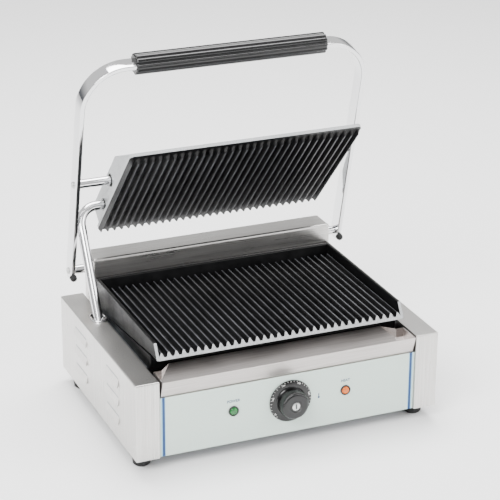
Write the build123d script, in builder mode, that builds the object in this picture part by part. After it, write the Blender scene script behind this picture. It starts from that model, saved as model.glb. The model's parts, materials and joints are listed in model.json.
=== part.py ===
from build123d import *
from math import atan2, cos, degrees, hypot, radians, sin
import os

os.makedirs("parts", exist_ok=True)

# Panini press (contact grill), shown open. Millimetres, +Z up, front towards -Y.
# Origin: centre of the bounding box in plan, on the surface that the feet stand on.

# ---------------------------------------------------------------- driving sizes
BODY_W = 430.0            # across the two side casings
BODY_D = 306.0            # casing depth, front to back
CASE_H = 108.0            # casing height without the feet
CASE_W = 33.0             # width of one side casing
SHEET = 1.2               # stainless sheet
FOOT_H = 20.0             # rubber foot, below the casing
FOOT_D = 27.0
FOOT_D_LOW = 22.0
FOOT_INSET = 32.0         # foot centre from the casing ends
EDGE_R = 1.6              # outside radius of the folded edges
FIT_GAP = 0.3             # plain assembly gap between neighbours

HOUSING_D = 38.5          # rear housing, front to back
HOUSING_RISE = 63.0       # rear housing above the casing tops
HOUSING_SIDE_GAP = 4.0    # rear housing to the casing's inner face
HOUSING_NOSE_R = 3.5      # rounding of the housing's front top edge

PANEL_RECESS = 4.0        # front panel behind the casing fronts
LABEL_T = 0.8             # printed control label
PANEL_H = 83.4            # front panel height, up to the tray shelf
SHELF_D = 52.0            # tray shelf depth

TRAY_GAP = 2.8            # drip tray end to the casing
TRAY_H = 24.0
TRAY_D = 51.5
TRAY_LEAN = 8.0           # how far the tray's front leans in at its foot
TRAY_T = 1.0
TRAY_OUT = 3.0            # tray rim ahead of the casing fronts
TRAY_EAR_D = 35.0         # depth of the full-width part of the tray
TRAY_EAR_W = 11.0         # width of the tray's back shoulder before the diagonal
TRAY_DIAG = 16.5
TRAY_FLAT = 15.0          # flat floor, front to back
TRAY_BACK_GAP = 1.5       # drip tray to the plate's skirt

PLATE_SIDE_GAP = 6.0      # lower plate to the casing's inner face
PLATE_FRONT = 26.0        # lower lip edge behind the casing fronts
PLATE_SKIRT_LOW = 8.0     # skirt foot below the casing top
PLATE_VALLEY = 19.5       # rib valleys above the casing top
PLATE_LIP_T = 3.2         # lip thickness under the valleys
PLATE_BASE_T = 9.0        # slab thickness
LIP_BACK = 12.0           # rim end behind the lip edge
RIM_H = 17.0              # rims above the rib valleys
RIM_T = 4.5               # rim and skirt walls
REAR_RIM_T = 7.0
RIB_PITCH = 10.2
RIB_H = 5.2
RIB_PEAK = 1.4            # flat at a rib's top
RIB_VALLEY = 3.2          # flat between two ribs
PLATE_REAR_GAP = 0.5      # lower plate to the rear housing

UP_SHIFT = 9.0            # upper plate sits this far right of the centre line
UP_W = 333.0              # upper plate, side to side
UP_HOUSE_IN = 4.0         # upper housing inside the ribbed plate's edge
UP_FRONT_CLEAR = 18.8     # upper plate's front behind the lower lip edge when closed
UP_REAR_CLEAR = 4.9       # upper plate's rear to the rear rim when closed
UP_SHUT_GAP = 0.8         # rib tops above the lower plate's rims when closed
UP_PLATE_T = 10.6         # upper ribbed plate, ribs included
UP_HOUSE_H = 34.2         # upper housing above the ribbed plate
UP_NOSE = 8.0             # plate thickness where the sloping front starts
UP_SLOPE_D = 69.0         # depth of the sloping front
UP_WALL = 3.0             # upper housing wall
LID_SHORT = 1.0           # upper housing ends this far ahead of the ribbed plate's rear
TILT_OPEN = 47.0          # upper plate's tilt when open, front up

ROD_D = 12.0              # pivot rods that carry the upper plate
ROD_S = 111.0             # rod axis behind the upper plate's front
ROD_N = 31.0              # rod axis above the upper plate's rib tops
ROD_IN = 24.0             # rod length inside the upper housing
RUN_GAP = 0.05            # running fit, radial
BUSH_T = 3.0              # pivot bush wall
HINGE_BUSH_T = 2.4        # hinge bush wall

SHAFT_D = 12.0            # hinge shaft of the handle
SHAFT_FROM_BACK = SHAFT_D / 2 + 5.0    # shaft axis ahead of the housing's back
SHAFT_Z = 41.0            # shaft axis above the casing top
LEG_GAP = 21.0            # handle leg to the rear housing's side
LEG_W = 22.0              # handle bar, wide face
LEG_T = 6.5               # handle bar, thickness
LEG_FOOT = 12.0           # leg below the shaft axis
LEAN_OPEN = 14.0          # handle lean from upright when open
GRIP_T = 319.0            # grip axis from the shaft axis
GRIP_D = 29.0
GRIP_L = 272.0
GRIP_SHIFT = 4.0          # grip sits this far right of the centre line
GRIP_FLUTES = 12
BEND_R = 62.0             # handle's outside bend radius
BUMP_D = 10.0             # leg bumper
BUMP_OUT = 6.0

TUBE_D = 13.0             # cable conduit
TUBE_WALL = 1.2
TUBE_GAP = 8.5            # conduit axis to the casing's inner face
TUBE_BEND = 25.0          # conduit's bend radius
TUBE_S = 165.0            # conduit end behind the upper plate's front
TUBE_N = 21.5             # conduit end above the rib tops
TUBE_END_Z = 11.0         # conduit's lower end above the table when closed
TUBE_IN = 14.0            # conduit end inside the upper housing
RING_BACK = 6.0           # ring centre behind the closed conduit
RING_SLOT_GAP = 1.3       # ring slot to the conduit, each side
RING_SLOT_L = 25.0        # ring slot, front to back
RING_WALL = 4.0
RING_T = 2.0

KNOB_Z = 46.6             # knob axis above the casing's lower edge
KNOB_D = 59.0             # knob skirt
KNOB_SKIRT_T = 3.2
KNOB_HUB_D = 41.0
KNOB_OUT = 17.5           # knob front ahead of the casing fronts
KNOB_GAP = 0.8            # skirt to the label
SPINDLE_D = 6.0
INSERT_D = 11.0
LAMP_X = 80.0             # lamps either side of the knob
LAMP_D = 14.0
LAMP_LENS_D = 11.6
LAMP_BODY_D = 10.0
STAT_W = 44.0             # thermostat box
STAT_H = 36.0
STAT_D = 30.0

INLET_OUT = 11.5          # cable inlet behind the rear cover
INLET_D = 22.0
INLET_BORE = 9.0
INLET_X = 110.0
INLET_Z = 40.0

ELEM_D = 8.0              # tubular heating elements
ELEM_W = 250.0
ELEM_L = 150.0
ELEM_PITCH = 50.0
CLAMP_T = 2.0

LOUVRE_L = 50.0
LOUVRE_H = 11.0
LOUVRE_OUT = 2.4
LOUVRE_Z = (29.0, 56.0, 83.0)       # above the casing's lower edge
LOUVRE_Y = (89.0, 218.0)            # centres, behind the casing front

# ---------------------------------------------------------------- derived places
BASE_Z = FOOT_H
TOP_Z = FOOT_H + CASE_H
lean_s = sin(radians(LEAN_OPEN))
lean_c = cos(radians(LEAN_OPEN))
tilt_s = sin(radians(TILT_OPEN))
tilt_c = cos(radians(TILT_OPEN))

# the linkage, measured back from the casing fronts, gives the depth that centres the whole
RIM_Z = TOP_Z + PLATE_VALLEY + RIM_H
UP_T = UP_PLATE_T + UP_HOUSE_H
UP_Z_SHUT = RIM_Z + UP_SHUT_GAP
O_Z = TOP_Z + SHAFT_Z
P_SHUT_Z = UP_Z_SHUT + ROD_N
nose_shut = PLATE_FRONT + UP_FRONT_CLEAR
shaft_back = BODY_D - SHAFT_FROM_BACK
rim_back = BODY_D - HOUSING_D - PLATE_REAR_GAP - REAR_RIM_T
UP_L = rim_back - UP_REAR_CLEAR - nose_shut
rod_ahead = shaft_back - nose_shut - ROD_S
REACH = hypot(rod_ahead, P_SHUT_Z - O_Z)
nose_open = shaft_back - REACH * lean_s - ROD_S * tilt_c - ROD_N * tilt_s
lid_back = nose_open + (UP_L - LID_SHORT) * tilt_c + UP_T * tilt_s
FRONT_Y = (KNOB_OUT - lid_back) / 2
BACK_Y = FRONT_Y + BODY_D
HALF_W = BODY_W / 2
IN_X = HALF_W - CASE_W
CASE_X = HALF_W - CASE_W / 2
SHELF_Z = BASE_Z + PANEL_H
TRAY_Z = SHELF_Z + FIT_GAP

HOUSE_X = IN_X - HOUSING_SIDE_GAP
HOUSE_Y = BACK_Y - HOUSING_D
HOUSE_Z = TOP_Z + HOUSING_RISE

PLATE_X = IN_X - PLATE_SIDE_GAP
PLATE_Y0 = FRONT_Y + PLATE_FRONT
PLATE_Y1 = HOUSE_Y - PLATE_REAR_GAP
SKIRT_Z = TOP_Z - PLATE_SKIRT_LOW
VALLEY_Z = TOP_Z + PLATE_VALLEY
SLAB_Z = VALLEY_Z - PLATE_BASE_T
LIP_Z = VALLEY_Z - PLATE_LIP_T
PEAK_Z = VALLEY_Z + RIB_H
SKIRT_Y = FRONT_Y - TRAY_OUT + TRAY_D + TRAY_BACK_GAP
INNER_X = PLATE_X - RIM_T
INNER_Y1 = PLATE_Y1 - REAR_RIM_T

# closed place of the upper plate, then the linkage, then its open place
UP_Y0_SHUT = PLATE_Y0 + UP_FRONT_CLEAR
UP_HALF = UP_W / 2
UP_X0 = UP_SHIFT - UP_HALF
UP_X1 = UP_SHIFT + UP_HALF

O_Y = BACK_Y - SHAFT_FROM_BACK
SHUT_ANGLE = degrees(atan2(rod_ahead, P_SHUT_Z - O_Z))
HANDLE_TURN = SHUT_ANGLE - LEAN_OPEN
PLATE_TURN = TILT_OPEN - HANDLE_TURN

P_Y = O_Y - REACH * lean_s
P_Z = O_Z + REACH * lean_c
# unit vectors of the open upper plate: back along it, and up out of its lid
BACK = (tilt_c, -tilt_s)
LIFT = (tilt_s, tilt_c)
F_Y = P_Y - ROD_S * BACK[0] - ROD_N * LIFT[0]
F_Z = P_Z - ROD_S * BACK[1] - ROD_N * LIFT[1]
Q_Y = F_Y + TUBE_S * BACK[0] + TUBE_N * LIFT[0]
Q_Z = F_Z + TUBE_S * BACK[1] + TUBE_N * LIFT[1]
Q_SHUT_Y = UP_Y0_SHUT + TUBE_S
Q_SHUT_Z = UP_Z_SHUT + TUBE_N
RING_Y = Q_SHUT_Y + RING_BACK
RING_Z = TOP_Z + RING_T / 2
TUBE_X = -(IN_X + TUBE_GAP)
TUBE_L = Q_SHUT_Z - TUBE_END_Z
tube_run = hypot(RING_Y - Q_Y, RING_Z - Q_Z)
TUBE_DIR = ((RING_Y - Q_Y) / tube_run, (RING_Z - Q_Z) / tube_run)
shut_lean = atan2(RING_Y - Q_SHUT_Y, Q_SHUT_Z - RING_Z)
open_lean = atan2(Q_Y - RING_Y, Q_Z - RING_Z)

LEG_X = HOUSE_X + LEG_GAP
LEG_OUT = LEG_X + LEG_T
LEG_AXIS = (-lean_s, lean_c)

KNOB_PLANE_Z = BASE_Z + KNOB_Z
PANEL_Y = FRONT_Y + PANEL_RECESS
LABEL_Y = PANEL_Y - LABEL_T


def frame_at(y, z, tilt=0.0, x=0.0):
    """Plane seen from above a piece tilted front-up: local x = X, y = back, z = lift."""
    a = radians(tilt)
    return Plane(origin=(x, y, z), x_dir=(1, 0, 0), z_dir=(0, sin(a), cos(a)))


def side_at(x, y=0.0, z=0.0, tilt=0.0):
    """Side-profile plane at x: local x = back, local y = lift, normal = +X."""
    a = radians(tilt)
    return Plane(origin=(x, y, z), x_dir=(0, cos(a), -sin(a)), z_dir=(1, 0, 0))


def face_at(y):
    """Upright plane at y with its normal to the front: local x = X, local y = Z."""
    return Plane.XZ.offset(-y)


def save(piece, name):
    piece.part.label = name
    export_step(piece.part, "parts/" + name + ".step")


# ================================================================ base: side casings
def side_casing(sign, name):
    """Folded box open underneath, with louvre hoods; sign is -1 left, +1 right."""
    cx = sign * CASE_X
    outer = sign * HALF_W
    with BuildPart() as casing:
        with BuildSketch(Plane.XY.offset(BASE_Z)):
            with Locations((cx, FRONT_Y + BODY_D / 2)):
                Rectangle(CASE_W, BODY_D)
        extrude(amount=CASE_H)
        fillet(casing.edges().filter_by(Axis.Z), EDGE_R)
        fillet(casing.faces().sort_by(Axis.Z)[-1].edges(), EDGE_R)
        with BuildSketch(Plane.XY.offset(BASE_Z)):
            with Locations((cx, FRONT_Y + BODY_D / 2)):
                Rectangle(CASE_W - 2 * SHEET, BODY_D - 2 * SHEET)
        extrude(amount=CASE_H - SHEET, mode=Mode.SUBTRACT)
        for y in LOUVRE_Y:
            for z in LOUVRE_Z:
                with BuildSketch(Plane.YZ.offset(outer - sign * SHEET)):
                    with Locations((FRONT_Y + y, BASE_Z + z - LOUVRE_H * 0.25)):
                        Rectangle(LOUVRE_L - 4, LOUVRE_H / 2 - 1)
                extrude(amount=sign * SHEET, mode=Mode.SUBTRACT)
                with BuildSketch(Plane.XZ.offset(-(FRONT_Y + y + LOUVRE_L / 2))):
                    with BuildLine():
                        Polyline(
                            (outer - sign * SHEET / 2, BASE_Z + z + LOUVRE_H / 2),
                            (outer, BASE_Z + z + LOUVRE_H / 2),
                            (outer + sign * LOUVRE_OUT, BASE_Z + z - LOUVRE_H / 2 + 1),
                            (outer + sign * LOUVRE_OUT, BASE_Z + z - LOUVRE_H / 2),
                            (outer + sign * (LOUVRE_OUT - 1), BASE_Z + z - LOUVRE_H / 2),
                            (outer - sign * SHEET / 2, BASE_Z + z + LOUVRE_H / 2 - 2),
                            close=True,
                        )
                    make_face()
                extrude(amount=LOUVRE_L)
        if sign < 0:
            with BuildSketch(Plane.XY.offset(TOP_Z - 2 * SHEET)):
                with Locations((TUBE_X, RING_Y)):
                    SlotOverall(RING_SLOT_L + 2 * FIT_GAP, RING_SLOT_W + 2 * FIT_GAP, rotation=90)
            extrude(amount=3 * SHEET, mode=Mode.SUBTRACT)
    save(casing, name)
    return casing


RING_SLOT_W = TUBE_D + 2 * RING_SLOT_GAP
left_casing = side_casing(-1, "left_side_casing")
right_casing = side_casing(1, "right_side_casing")

# ================================================================ base: pan, panel, label
PAN_X = IN_X - FIT_GAP
with BuildPart() as base_pan:
    with BuildSketch(Plane.XY.offset(BASE_Z)):
        with Locations((0, (PANEL_Y + SHEET + FIT_GAP + BACK_Y - SHEET - FIT_GAP) / 2)):
            Rectangle(2 * PAN_X, BODY_D - PANEL_RECESS - 2 * SHEET - 2 * FIT_GAP)
    extrude(amount=14)
    with BuildSketch(Plane.XY.offset(BASE_Z + SHEET)):
        with Locations((0, (PANEL_Y + SHEET + FIT_GAP + BACK_Y - SHEET - FIT_GAP) / 2)):
            Rectangle(2 * PAN_X - 2 * SHEET, BODY_D)
    extrude(amount=14, mode=Mode.SUBTRACT)
    with BuildSketch(Plane.XY.offset(BASE_Z)):
        with Locations((0, FRONT_Y + BODY_D * 0.45)):
            with GridLocations(30, 46, 7, 3):
                SlotOverall(30, 5, rotation=90)
    extrude(amount=SHEET, mode=Mode.SUBTRACT)
save(base_pan, "base_pan")

with BuildPart() as front_panel:
    with BuildSketch(side_at(-PAN_X)):
        with BuildLine():
            Polyline(
                (PANEL_Y, BASE_Z),
                (PANEL_Y, SHELF_Z),
                (PANEL_Y + SHELF_D, SHELF_Z),
                (PANEL_Y + SHELF_D, SHELF_Z - 10),
                (PANEL_Y + SHELF_D - SHEET, SHELF_Z - 10),
                (PANEL_Y + SHELF_D - SHEET, SHELF_Z - SHEET),
                (PANEL_Y + SHEET, SHELF_Z - SHEET),
                (PANEL_Y + SHEET, BASE_Z),
                close=True,
            )
        make_face()
    extrude(amount=2 * PAN_X)
    with BuildSketch(face_at(PANEL_Y + 2 * SHEET)):
        with Locations((0, KNOB_PLANE_Z)):
            Circle(SPINDLE_D / 2 + 2.0)
        with Locations((-LAMP_X, KNOB_PLANE_Z), (LAMP_X, KNOB_PLANE_Z)):
            Circle(LAMP_BODY_D / 2 + FIT_GAP)
    extrude(amount=4 * SHEET, mode=Mode.SUBTRACT)
save(front_panel, "front_panel")

with BuildPart() as control_label:
    with BuildSketch(face_at(PANEL_Y)):
        with Locations((0, (BASE_Z + SHELF_Z) / 2)):
            Rectangle(2 * PAN_X, PANEL_H)
        with Locations((0, KNOB_PLANE_Z)):
            Circle(SPINDLE_D / 2 + 2.0, mode=Mode.SUBTRACT)
        with Locations((-LAMP_X, KNOB_PLANE_Z), (LAMP_X, KNOB_PLANE_Z)):
            Circle(LAMP_BODY_D / 2 + FIT_GAP, mode=Mode.SUBTRACT)
    extrude(amount=LABEL_T)
save(control_label, "control_label")

# ================================================================ base: rear housing and cover
BUSH_R = SHAFT_D / 2 + RUN_GAP + HINGE_BUSH_T
with BuildPart() as rear_housing:
    with BuildSketch(Plane.XY.offset(BASE_Z + SHEET + FIT_GAP)):
        with Locations((0, HOUSE_Y + HOUSING_D / 2)):
            Rectangle(2 * HOUSE_X, HOUSING_D)
    extrude(amount=HOUSE_Z - BASE_Z - SHEET - FIT_GAP)
    fillet(rear_housing.edges().filter_by(Axis.Z).sort_by(Axis.Y)[:2], EDGE_R)
    top_edges = rear_housing.faces().sort_by(Axis.Z)[-1].edges()
    fillet(top_edges.filter_by(Axis.X).sort_by(Axis.Y)[:1], HOUSING_NOSE_R)
    with BuildSketch(Plane.XY.offset(BASE_Z)):
        with Locations((0, HOUSE_Y + SHEET + HOUSING_D / 2)):
            Rectangle(2 * HOUSE_X - 2 * SHEET, HOUSING_D)
    extrude(amount=HOUSE_Z - SHEET - BASE_Z, mode=Mode.SUBTRACT)
    with BuildSketch(Plane.YZ.offset(-HOUSE_X - 1)):
        with Locations((O_Y, O_Z)):
            Circle(BUSH_R)
    extrude(amount=2 * HOUSE_X + 2, mode=Mode.SUBTRACT)
save(rear_housing, "rear_housing")

COVER_X = HOUSE_X - SHEET - FIT_GAP
COVER_Z0 = BASE_Z + SHEET + FIT_GAP
COVER_Z1 = HOUSE_Z - SHEET - FIT_GAP
SCREW_X = COVER_X - 9
with BuildPart() as rear_cover:
    with BuildSketch(face_at(BACK_Y)):
        with Locations((0, (COVER_Z0 + COVER_Z1) / 2)):
            Rectangle(2 * COVER_X, COVER_Z1 - COVER_Z0)
        with Locations((-60, COVER_Z0 + 90)):
            with GridLocations(12, 1, 12, 1):
                SlotOverall(34, 4, rotation=90, mode=Mode.SUBTRACT)
        with Locations((INLET_X, BASE_Z + INLET_Z)):
            Circle(INLET_D / 2 - 3, mode=Mode.SUBTRACT)
        with Locations(
            (-SCREW_X, COVER_Z0 + 12), (SCREW_X, COVER_Z0 + 12),
            (-SCREW_X, COVER_Z1 - 60), (SCREW_X, COVER_Z1 - 60),
        ):
            Circle(2.0, mode=Mode.SUBTRACT)
    extrude(amount=SHEET)
save(rear_cover, "rear_cover")

# inner frames: upright angle strips that the cover is screwed to, one each side
with BuildPart() as cover_strips:
    for sign in (-1, 1):
        with BuildSketch(Plane.XY.offset(COVER_Z0)):
            with BuildLine():
                Polyline(
                    (sign * COVER_X, BACK_Y - SHEET),
                    (sign * (COVER_X - 18), BACK_Y - SHEET),
                    (sign * (COVER_X - 18), BACK_Y - SHEET - 1.5),
                    (sign * (COVER_X - 1.5), BACK_Y - SHEET - 1.5),
                    (sign * (COVER_X - 1.5), BACK_Y - SHEET - 16),
                    (sign * COVER_X, BACK_Y - SHEET - 16),
                    close=True,
                )
            make_face()
        extrude(amount=COVER_Z1 - COVER_Z0 - 50)
    with BuildSketch(face_at(BACK_Y)):
        with Locations(
            (-SCREW_X, COVER_Z0 + 12), (SCREW_X, COVER_Z0 + 12),
            (-SCREW_X, COVER_Z1 - 60), (SCREW_X, COVER_Z1 - 60),
        ):
            Circle(1.6)
    extrude(amount=8, mode=Mode.SUBTRACT)
save(cover_strips, "cover_strips")

with BuildPart() as cover_screws:
    with BuildSketch(face_at(BACK_Y)):
        with Locations(
            (-SCREW_X, COVER_Z0 + 12), (SCREW_X, COVER_Z0 + 12),
            (-SCREW_X, COVER_Z1 - 60), (SCREW_X, COVER_Z1 - 60),
        ):
            Circle(1.6)
    extrude(amount=7)
    with BuildSketch(face_at(BACK_Y)):
        with Locations(
            (-SCREW_X, COVER_Z0 + 12), (SCREW_X, COVER_Z0 + 12),
            (-SCREW_X, COVER_Z1 - 60), (SCREW_X, COVER_Z1 - 60),
        ):
            Circle(3.4)
    extrude(amount=-2.2)
save(cover_screws, "cover_screws")

with BuildPart() as cable_inlet:
    with BuildSketch(face_at(BACK_Y + INLET_OUT)):
        with Locations((INLET_X, BASE_Z + INLET_Z)):
            Circle(INLET_D / 2 - 3)
    extrude(amount=INLET_OUT)
    with BuildSketch(face_at(BACK_Y + INLET_OUT * 0.6)):
        with Locations((INLET_X, BASE_Z + INLET_Z)):
            RegularPolygon(INLET_D / 2, 6)
    extrude(amount=INLET_OUT * 0.6)
    with BuildSketch(face_at(BACK_Y)):
        with Locations((INLET_X, BASE_Z + INLET_Z)):
            Circle(INLET_D / 2 - 3 - 0.1)
    extrude(amount=12)
    with BuildSketch(face_at(BACK_Y + INLET_OUT)):
        with Locations((INLET_X, BASE_Z + INLET_Z)):
            Circle(INLET_BORE / 2)
    extrude(amount=INLET_OUT + 12, mode=Mode.SUBTRACT)
save(cable_inlet, "cable_inlet")

with BuildPart() as terminal_block:
    with BuildSketch(Plane.XY.offset(BASE_Z + SHEET)):
        with Locations((INLET_X - 60, HOUSE_Y - 26)):
            Rectangle(46, 22)
    extrude(amount=16)
    with BuildSketch(Plane.XY.offset(BASE_Z + SHEET + 16)):
        with Locations((INLET_X - 60, HOUSE_Y - 26)):
            with GridLocations(14, 11, 3, 2):
                Circle(2.6)
    extrude(amount=-7, mode=Mode.SUBTRACT)
save(terminal_block, "terminal_block")

# ================================================================ base: feet
FOOT_PLACES = [
    (sx * (CASE_X - 1.5), y)
    for sx in (-1, 1)
    for y in (FRONT_Y + FOOT_INSET, BACK_Y - FOOT_INSET)
]
# foot brackets close the casing's open underside where a foot is screwed on
with BuildPart() as foot_brackets:
    for sx in (-1, 1):
        for y in (FRONT_Y + FOOT_INSET, BACK_Y - FOOT_INSET):
            with BuildSketch(Plane.XY.offset(BASE_Z)):
                with Locations((sx * CASE_X, y)):
                    Rectangle(CASE_W - 2 * SHEET, 34)
                with Locations((sx * (CASE_X - 1.5), y)):
                    Circle(2.6, mode=Mode.SUBTRACT)
            extrude(amount=2.0)
save(foot_brackets, "foot_brackets")

with BuildPart() as rubber_feet:
    for fx, fy in FOOT_PLACES:
        with BuildSketch(Plane.XZ.offset(-fy)):
            with BuildLine():
                Polyline(
                    (fx + 2.6, BASE_Z),
                    (fx + FOOT_D / 2, BASE_Z),
                    (fx + FOOT_D / 2, BASE_Z - 4),
                    (fx + FOOT_D_LOW / 2 + 0.6, 2.0),
                    (fx + FOOT_D_LOW / 2 - 1.4, 0),
                    (fx + 7, 0),
                    (fx + 7, 6),
                    (fx + 2.6, 6),
                    close=True,
                )
            make_face()
        revolve(axis=Axis((fx, fy, 0), (0, 0, 1)))
save(rubber_feet, "rubber_feet")

with BuildPart() as foot_screws:
    for fx, fy in FOOT_PLACES:
        with BuildSketch(Plane.XY.offset(6)):
            with Locations((fx, fy)):
                Circle(2.6)
        extrude(amount=BASE_Z + 8 - 6)
        with BuildSketch(Plane.XY.offset(6)):
            with Locations((fx, fy)):
                Circle(5.0)
        extrude(amount=-3.0)
save(foot_screws, "foot_screws")

# ================================================================ base: lower grill plate
RIB_N = int((2 * INNER_X - 4) / RIB_PITCH)


def rib_row(count, pitch, base, top, peak, valley, centre=0.0):
    """Zigzag outline of a rib row in its section plane, from base level to the peaks."""
    pts = []
    left = centre - count * pitch / 2
    for i in range(count):
        mid = left + (i + 0.5) * pitch
        pts.append((mid - pitch / 2 + valley / 2, base))
        pts.append((mid - peak / 2, top))
        pts.append((mid + peak / 2, top))
        pts.append((mid + pitch / 2 - valley / 2, base))
    return pts


with BuildPart() as lower_plate:
    # slab with its slanted front lip
    with BuildSketch(side_at(-PLATE_X)):
        with BuildLine():
            Polyline(
                (PLATE_Y0, LIP_Z),
                (PLATE_Y0 + LIP_BACK * PLATE_LIP_T / (PLATE_LIP_T + RIM_H), VALLEY_Z),
                (PLATE_Y1, VALLEY_Z),
                (PLATE_Y1, SLAB_Z),
                (SKIRT_Y, SLAB_Z),
                (SKIRT_Y - 6, LIP_Z),
                close=True,
            )
        make_face()
    extrude(amount=2 * PLATE_X)
    # side rims with the slanted front end
    for x0 in (-PLATE_X, PLATE_X - RIM_T):
        with BuildSketch(side_at(x0)):
            with BuildLine():
                Polyline(
                    (PLATE_Y0, LIP_Z),
                    (PLATE_Y0 + LIP_BACK, RIM_Z),
                    (PLATE_Y1, RIM_Z),
                    (PLATE_Y1, SKIRT_Z),
                    (SKIRT_Y, SKIRT_Z),
                    (SKIRT_Y, LIP_Z),
                    close=True,
                )
            make_face()
        extrude(amount=RIM_T)
    # rear rim, rear skirt and front skirt
    with BuildSketch(side_at(-PLATE_X)):
        with Locations((PLATE_Y1 - REAR_RIM_T / 2, (RIM_Z + SKIRT_Z) / 2)):
            Rectangle(REAR_RIM_T, RIM_Z - SKIRT_Z)
        with Locations((SKIRT_Y + RIM_T / 2, (SLAB_Z + 1 + SKIRT_Z) / 2)):
            Rectangle(RIM_T, SLAB_Z + 1 - SKIRT_Z)
    extrude(amount=2 * PLATE_X)
    # front-to-back ribs
    rib_y0 = PLATE_Y0 + LIP_BACK * PLATE_LIP_T / (PLATE_LIP_T + RIM_H)
    with BuildSketch(face_at(PLATE_Y1 - REAR_RIM_T / 2)):
        with BuildLine():
            Polyline(
                *rib_row(RIB_N, RIB_PITCH, VALLEY_Z, PEAK_Z, RIB_PEAK, RIB_VALLEY),
                (RIB_N * RIB_PITCH / 2 - RIB_VALLEY / 2, VALLEY_Z - 1),
                (-RIB_N * RIB_PITCH / 2 + RIB_VALLEY / 2, VALLEY_Z - 1),
                close=True,
            )
        make_face()
    extrude(amount=PLATE_Y1 - REAR_RIM_T / 2 - rib_y0)
    # the ribs end on the same slant as the lip
    with BuildSketch(side_at(-PLATE_X - 1)):
        with BuildLine():
            Polyline(
                (PLATE_Y0 - 5, LIP_Z),
                (PLATE_Y0, LIP_Z),
                (PLATE_Y0 + LIP_BACK, RIM_Z),
                (PLATE_Y0 - 5, RIM_Z + 2),
                close=True,
            )
        make_face()
    extrude(amount=2 * PLATE_X + 2, mode=Mode.SUBTRACT)
save(lower_plate, "lower_grill_plate")

with BuildPart() as support_rails:
    for sign in (-1, 1):
        with BuildSketch(Plane.XZ.offset(-(PLATE_Y1 - 6))):
            with BuildLine():
                Polyline(
                    (sign * IN_X, SKIRT_Z),
                    (sign * (INNER_X - 2), SKIRT_Z),
                    (sign * (INNER_X - 2), SKIRT_Z - 2),
                    (sign * (IN_X - 2), SKIRT_Z - 2),
                    (sign * (IN_X - 2), SKIRT_Z - 24),
                    (sign * IN_X, SKIRT_Z - 24),
                    close=True,
                )
            make_face()
        extrude(amount=PLATE_Y1 - 6 - SKIRT_Y - RIM_T - 8)
save(support_rails, "plate_support_rails")

ELEM_Z = SLAB_Z - ELEM_D / 2
ELEM_YC = (SKIRT_Y + PLATE_Y1) / 2


def element_path(cx, cy, w, l):
    """Double hairpin: corner points of a flat serpentine, tails towards the back."""
    return [
        (cx - w / 2 + 14, cy + l / 2 + 12),
        (cx - w / 2, cy + l / 2 - 14),
        (cx - w / 2, cy - l / 2),
        (cx - ELEM_PITCH / 2 - 20, cy - l / 2),
        (cx - ELEM_PITCH / 2 - 20, cy + l / 2 - 20),
        (cx + ELEM_PITCH / 2 + 20, cy + l / 2 - 20),
        (cx + ELEM_PITCH / 2 + 20, cy - l / 2),
        (cx + w / 2, cy - l / 2),
        (cx + w / 2, cy + l / 2 - 14),
        (cx + w / 2 - 14, cy + l / 2 + 12),
    ]


with BuildPart() as lower_element:
    pts = element_path(0, ELEM_YC, ELEM_W, ELEM_L)
    with BuildLine(Plane.XY.offset(ELEM_Z)) as path:
        FilletPolyline(*pts, radius=9)
    start = Plane(path.line @ 0, z_dir=path.line % 0)
    with BuildSketch(start):
        Circle(ELEM_D / 2)
    sweep(path=path.line)
save(lower_element, "lower_heating_element")

CLAMP_Z = ELEM_Z - ELEM_D / 2 - CLAMP_T
STUD_PLACES = [(sx * 105.0, ELEM_YC + sy * 48.0) for sx in (-1, 1) for sy in (-1, 1)]
with BuildPart() as lower_clamp:
    with BuildSketch(Plane.XY.offset(CLAMP_Z)):
        with Locations((0, ELEM_YC)):
            RectangleRounded(ELEM_W + 26, ELEM_L - 6, 6)
        with Locations(*STUD_PLACES):
            Circle(3.2, mode=Mode.SUBTRACT)
    extrude(amount=CLAMP_T)
save(lower_clamp, "lower_element_clamp")

with BuildPart() as lower_studs:
    with BuildSketch(Plane.XY.offset(SLAB_Z)):
        with Locations(*STUD_PLACES):
            Circle(3.0)
    extrude(amount=-(SLAB_Z - CLAMP_Z + 6))
    with BuildSketch(Plane.XY.offset(CLAMP_Z)):
        with Locations(*STUD_PLACES):
            RegularPolygon(5.5, 6)
    extrude(amount=-4.5)
save(lower_studs, "lower_clamp_studs")

SHIELD_Z = CLAMP_Z - 26
with BuildPart() as heat_shield:
    with BuildSketch(Plane.XY.offset(SHIELD_Z)):
        with Locations((0, (PANEL_Y + SHELF_D + 2 + HOUSE_Y - 2) / 2)):
            Rectangle(2 * PAN_X - 4 - 2, HOUSE_Y - 4 - PANEL_Y - SHELF_D)
    extrude(amount=1.0)
    for sx in (-1, 1):
        with BuildSketch(Plane.XY.offset(BASE_Z + SHEET)):
            with Locations((sx * 120, HOUSE_Y - 60), (sx * 120, PANEL_Y + SHELF_D + 40)):
                Circle(5)
        extrude(amount=SHIELD_Z - BASE_Z - SHEET)
save(heat_shield, "heat_shield")

# ================================================================ base: thermostat and lamps
STAT_Y = PANEL_Y + SHEET
BUSH_BORE = SPINDLE_D / 2 + RUN_GAP
with BuildPart() as thermostat:
    with BuildSketch(face_at(STAT_Y + STAT_D)):
        with Locations((0, KNOB_PLANE_Z - 2)):
            RectangleRounded(STAT_W, STAT_H, 3)
    extrude(amount=STAT_D)
    with BuildSketch(face_at(STAT_Y)):
        with Locations((0, KNOB_PLANE_Z)):
            Circle(SPINDLE_D / 2 + 1.8)
    extrude(amount=SHEET)
    with BuildSketch(face_at(STAT_Y + 14)):
        with Locations((0, KNOB_PLANE_Z)):
            Circle(BUSH_BORE)
    extrude(amount=14 + SHEET, mode=Mode.SUBTRACT)
save(thermostat, "thermostat_body")

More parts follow.
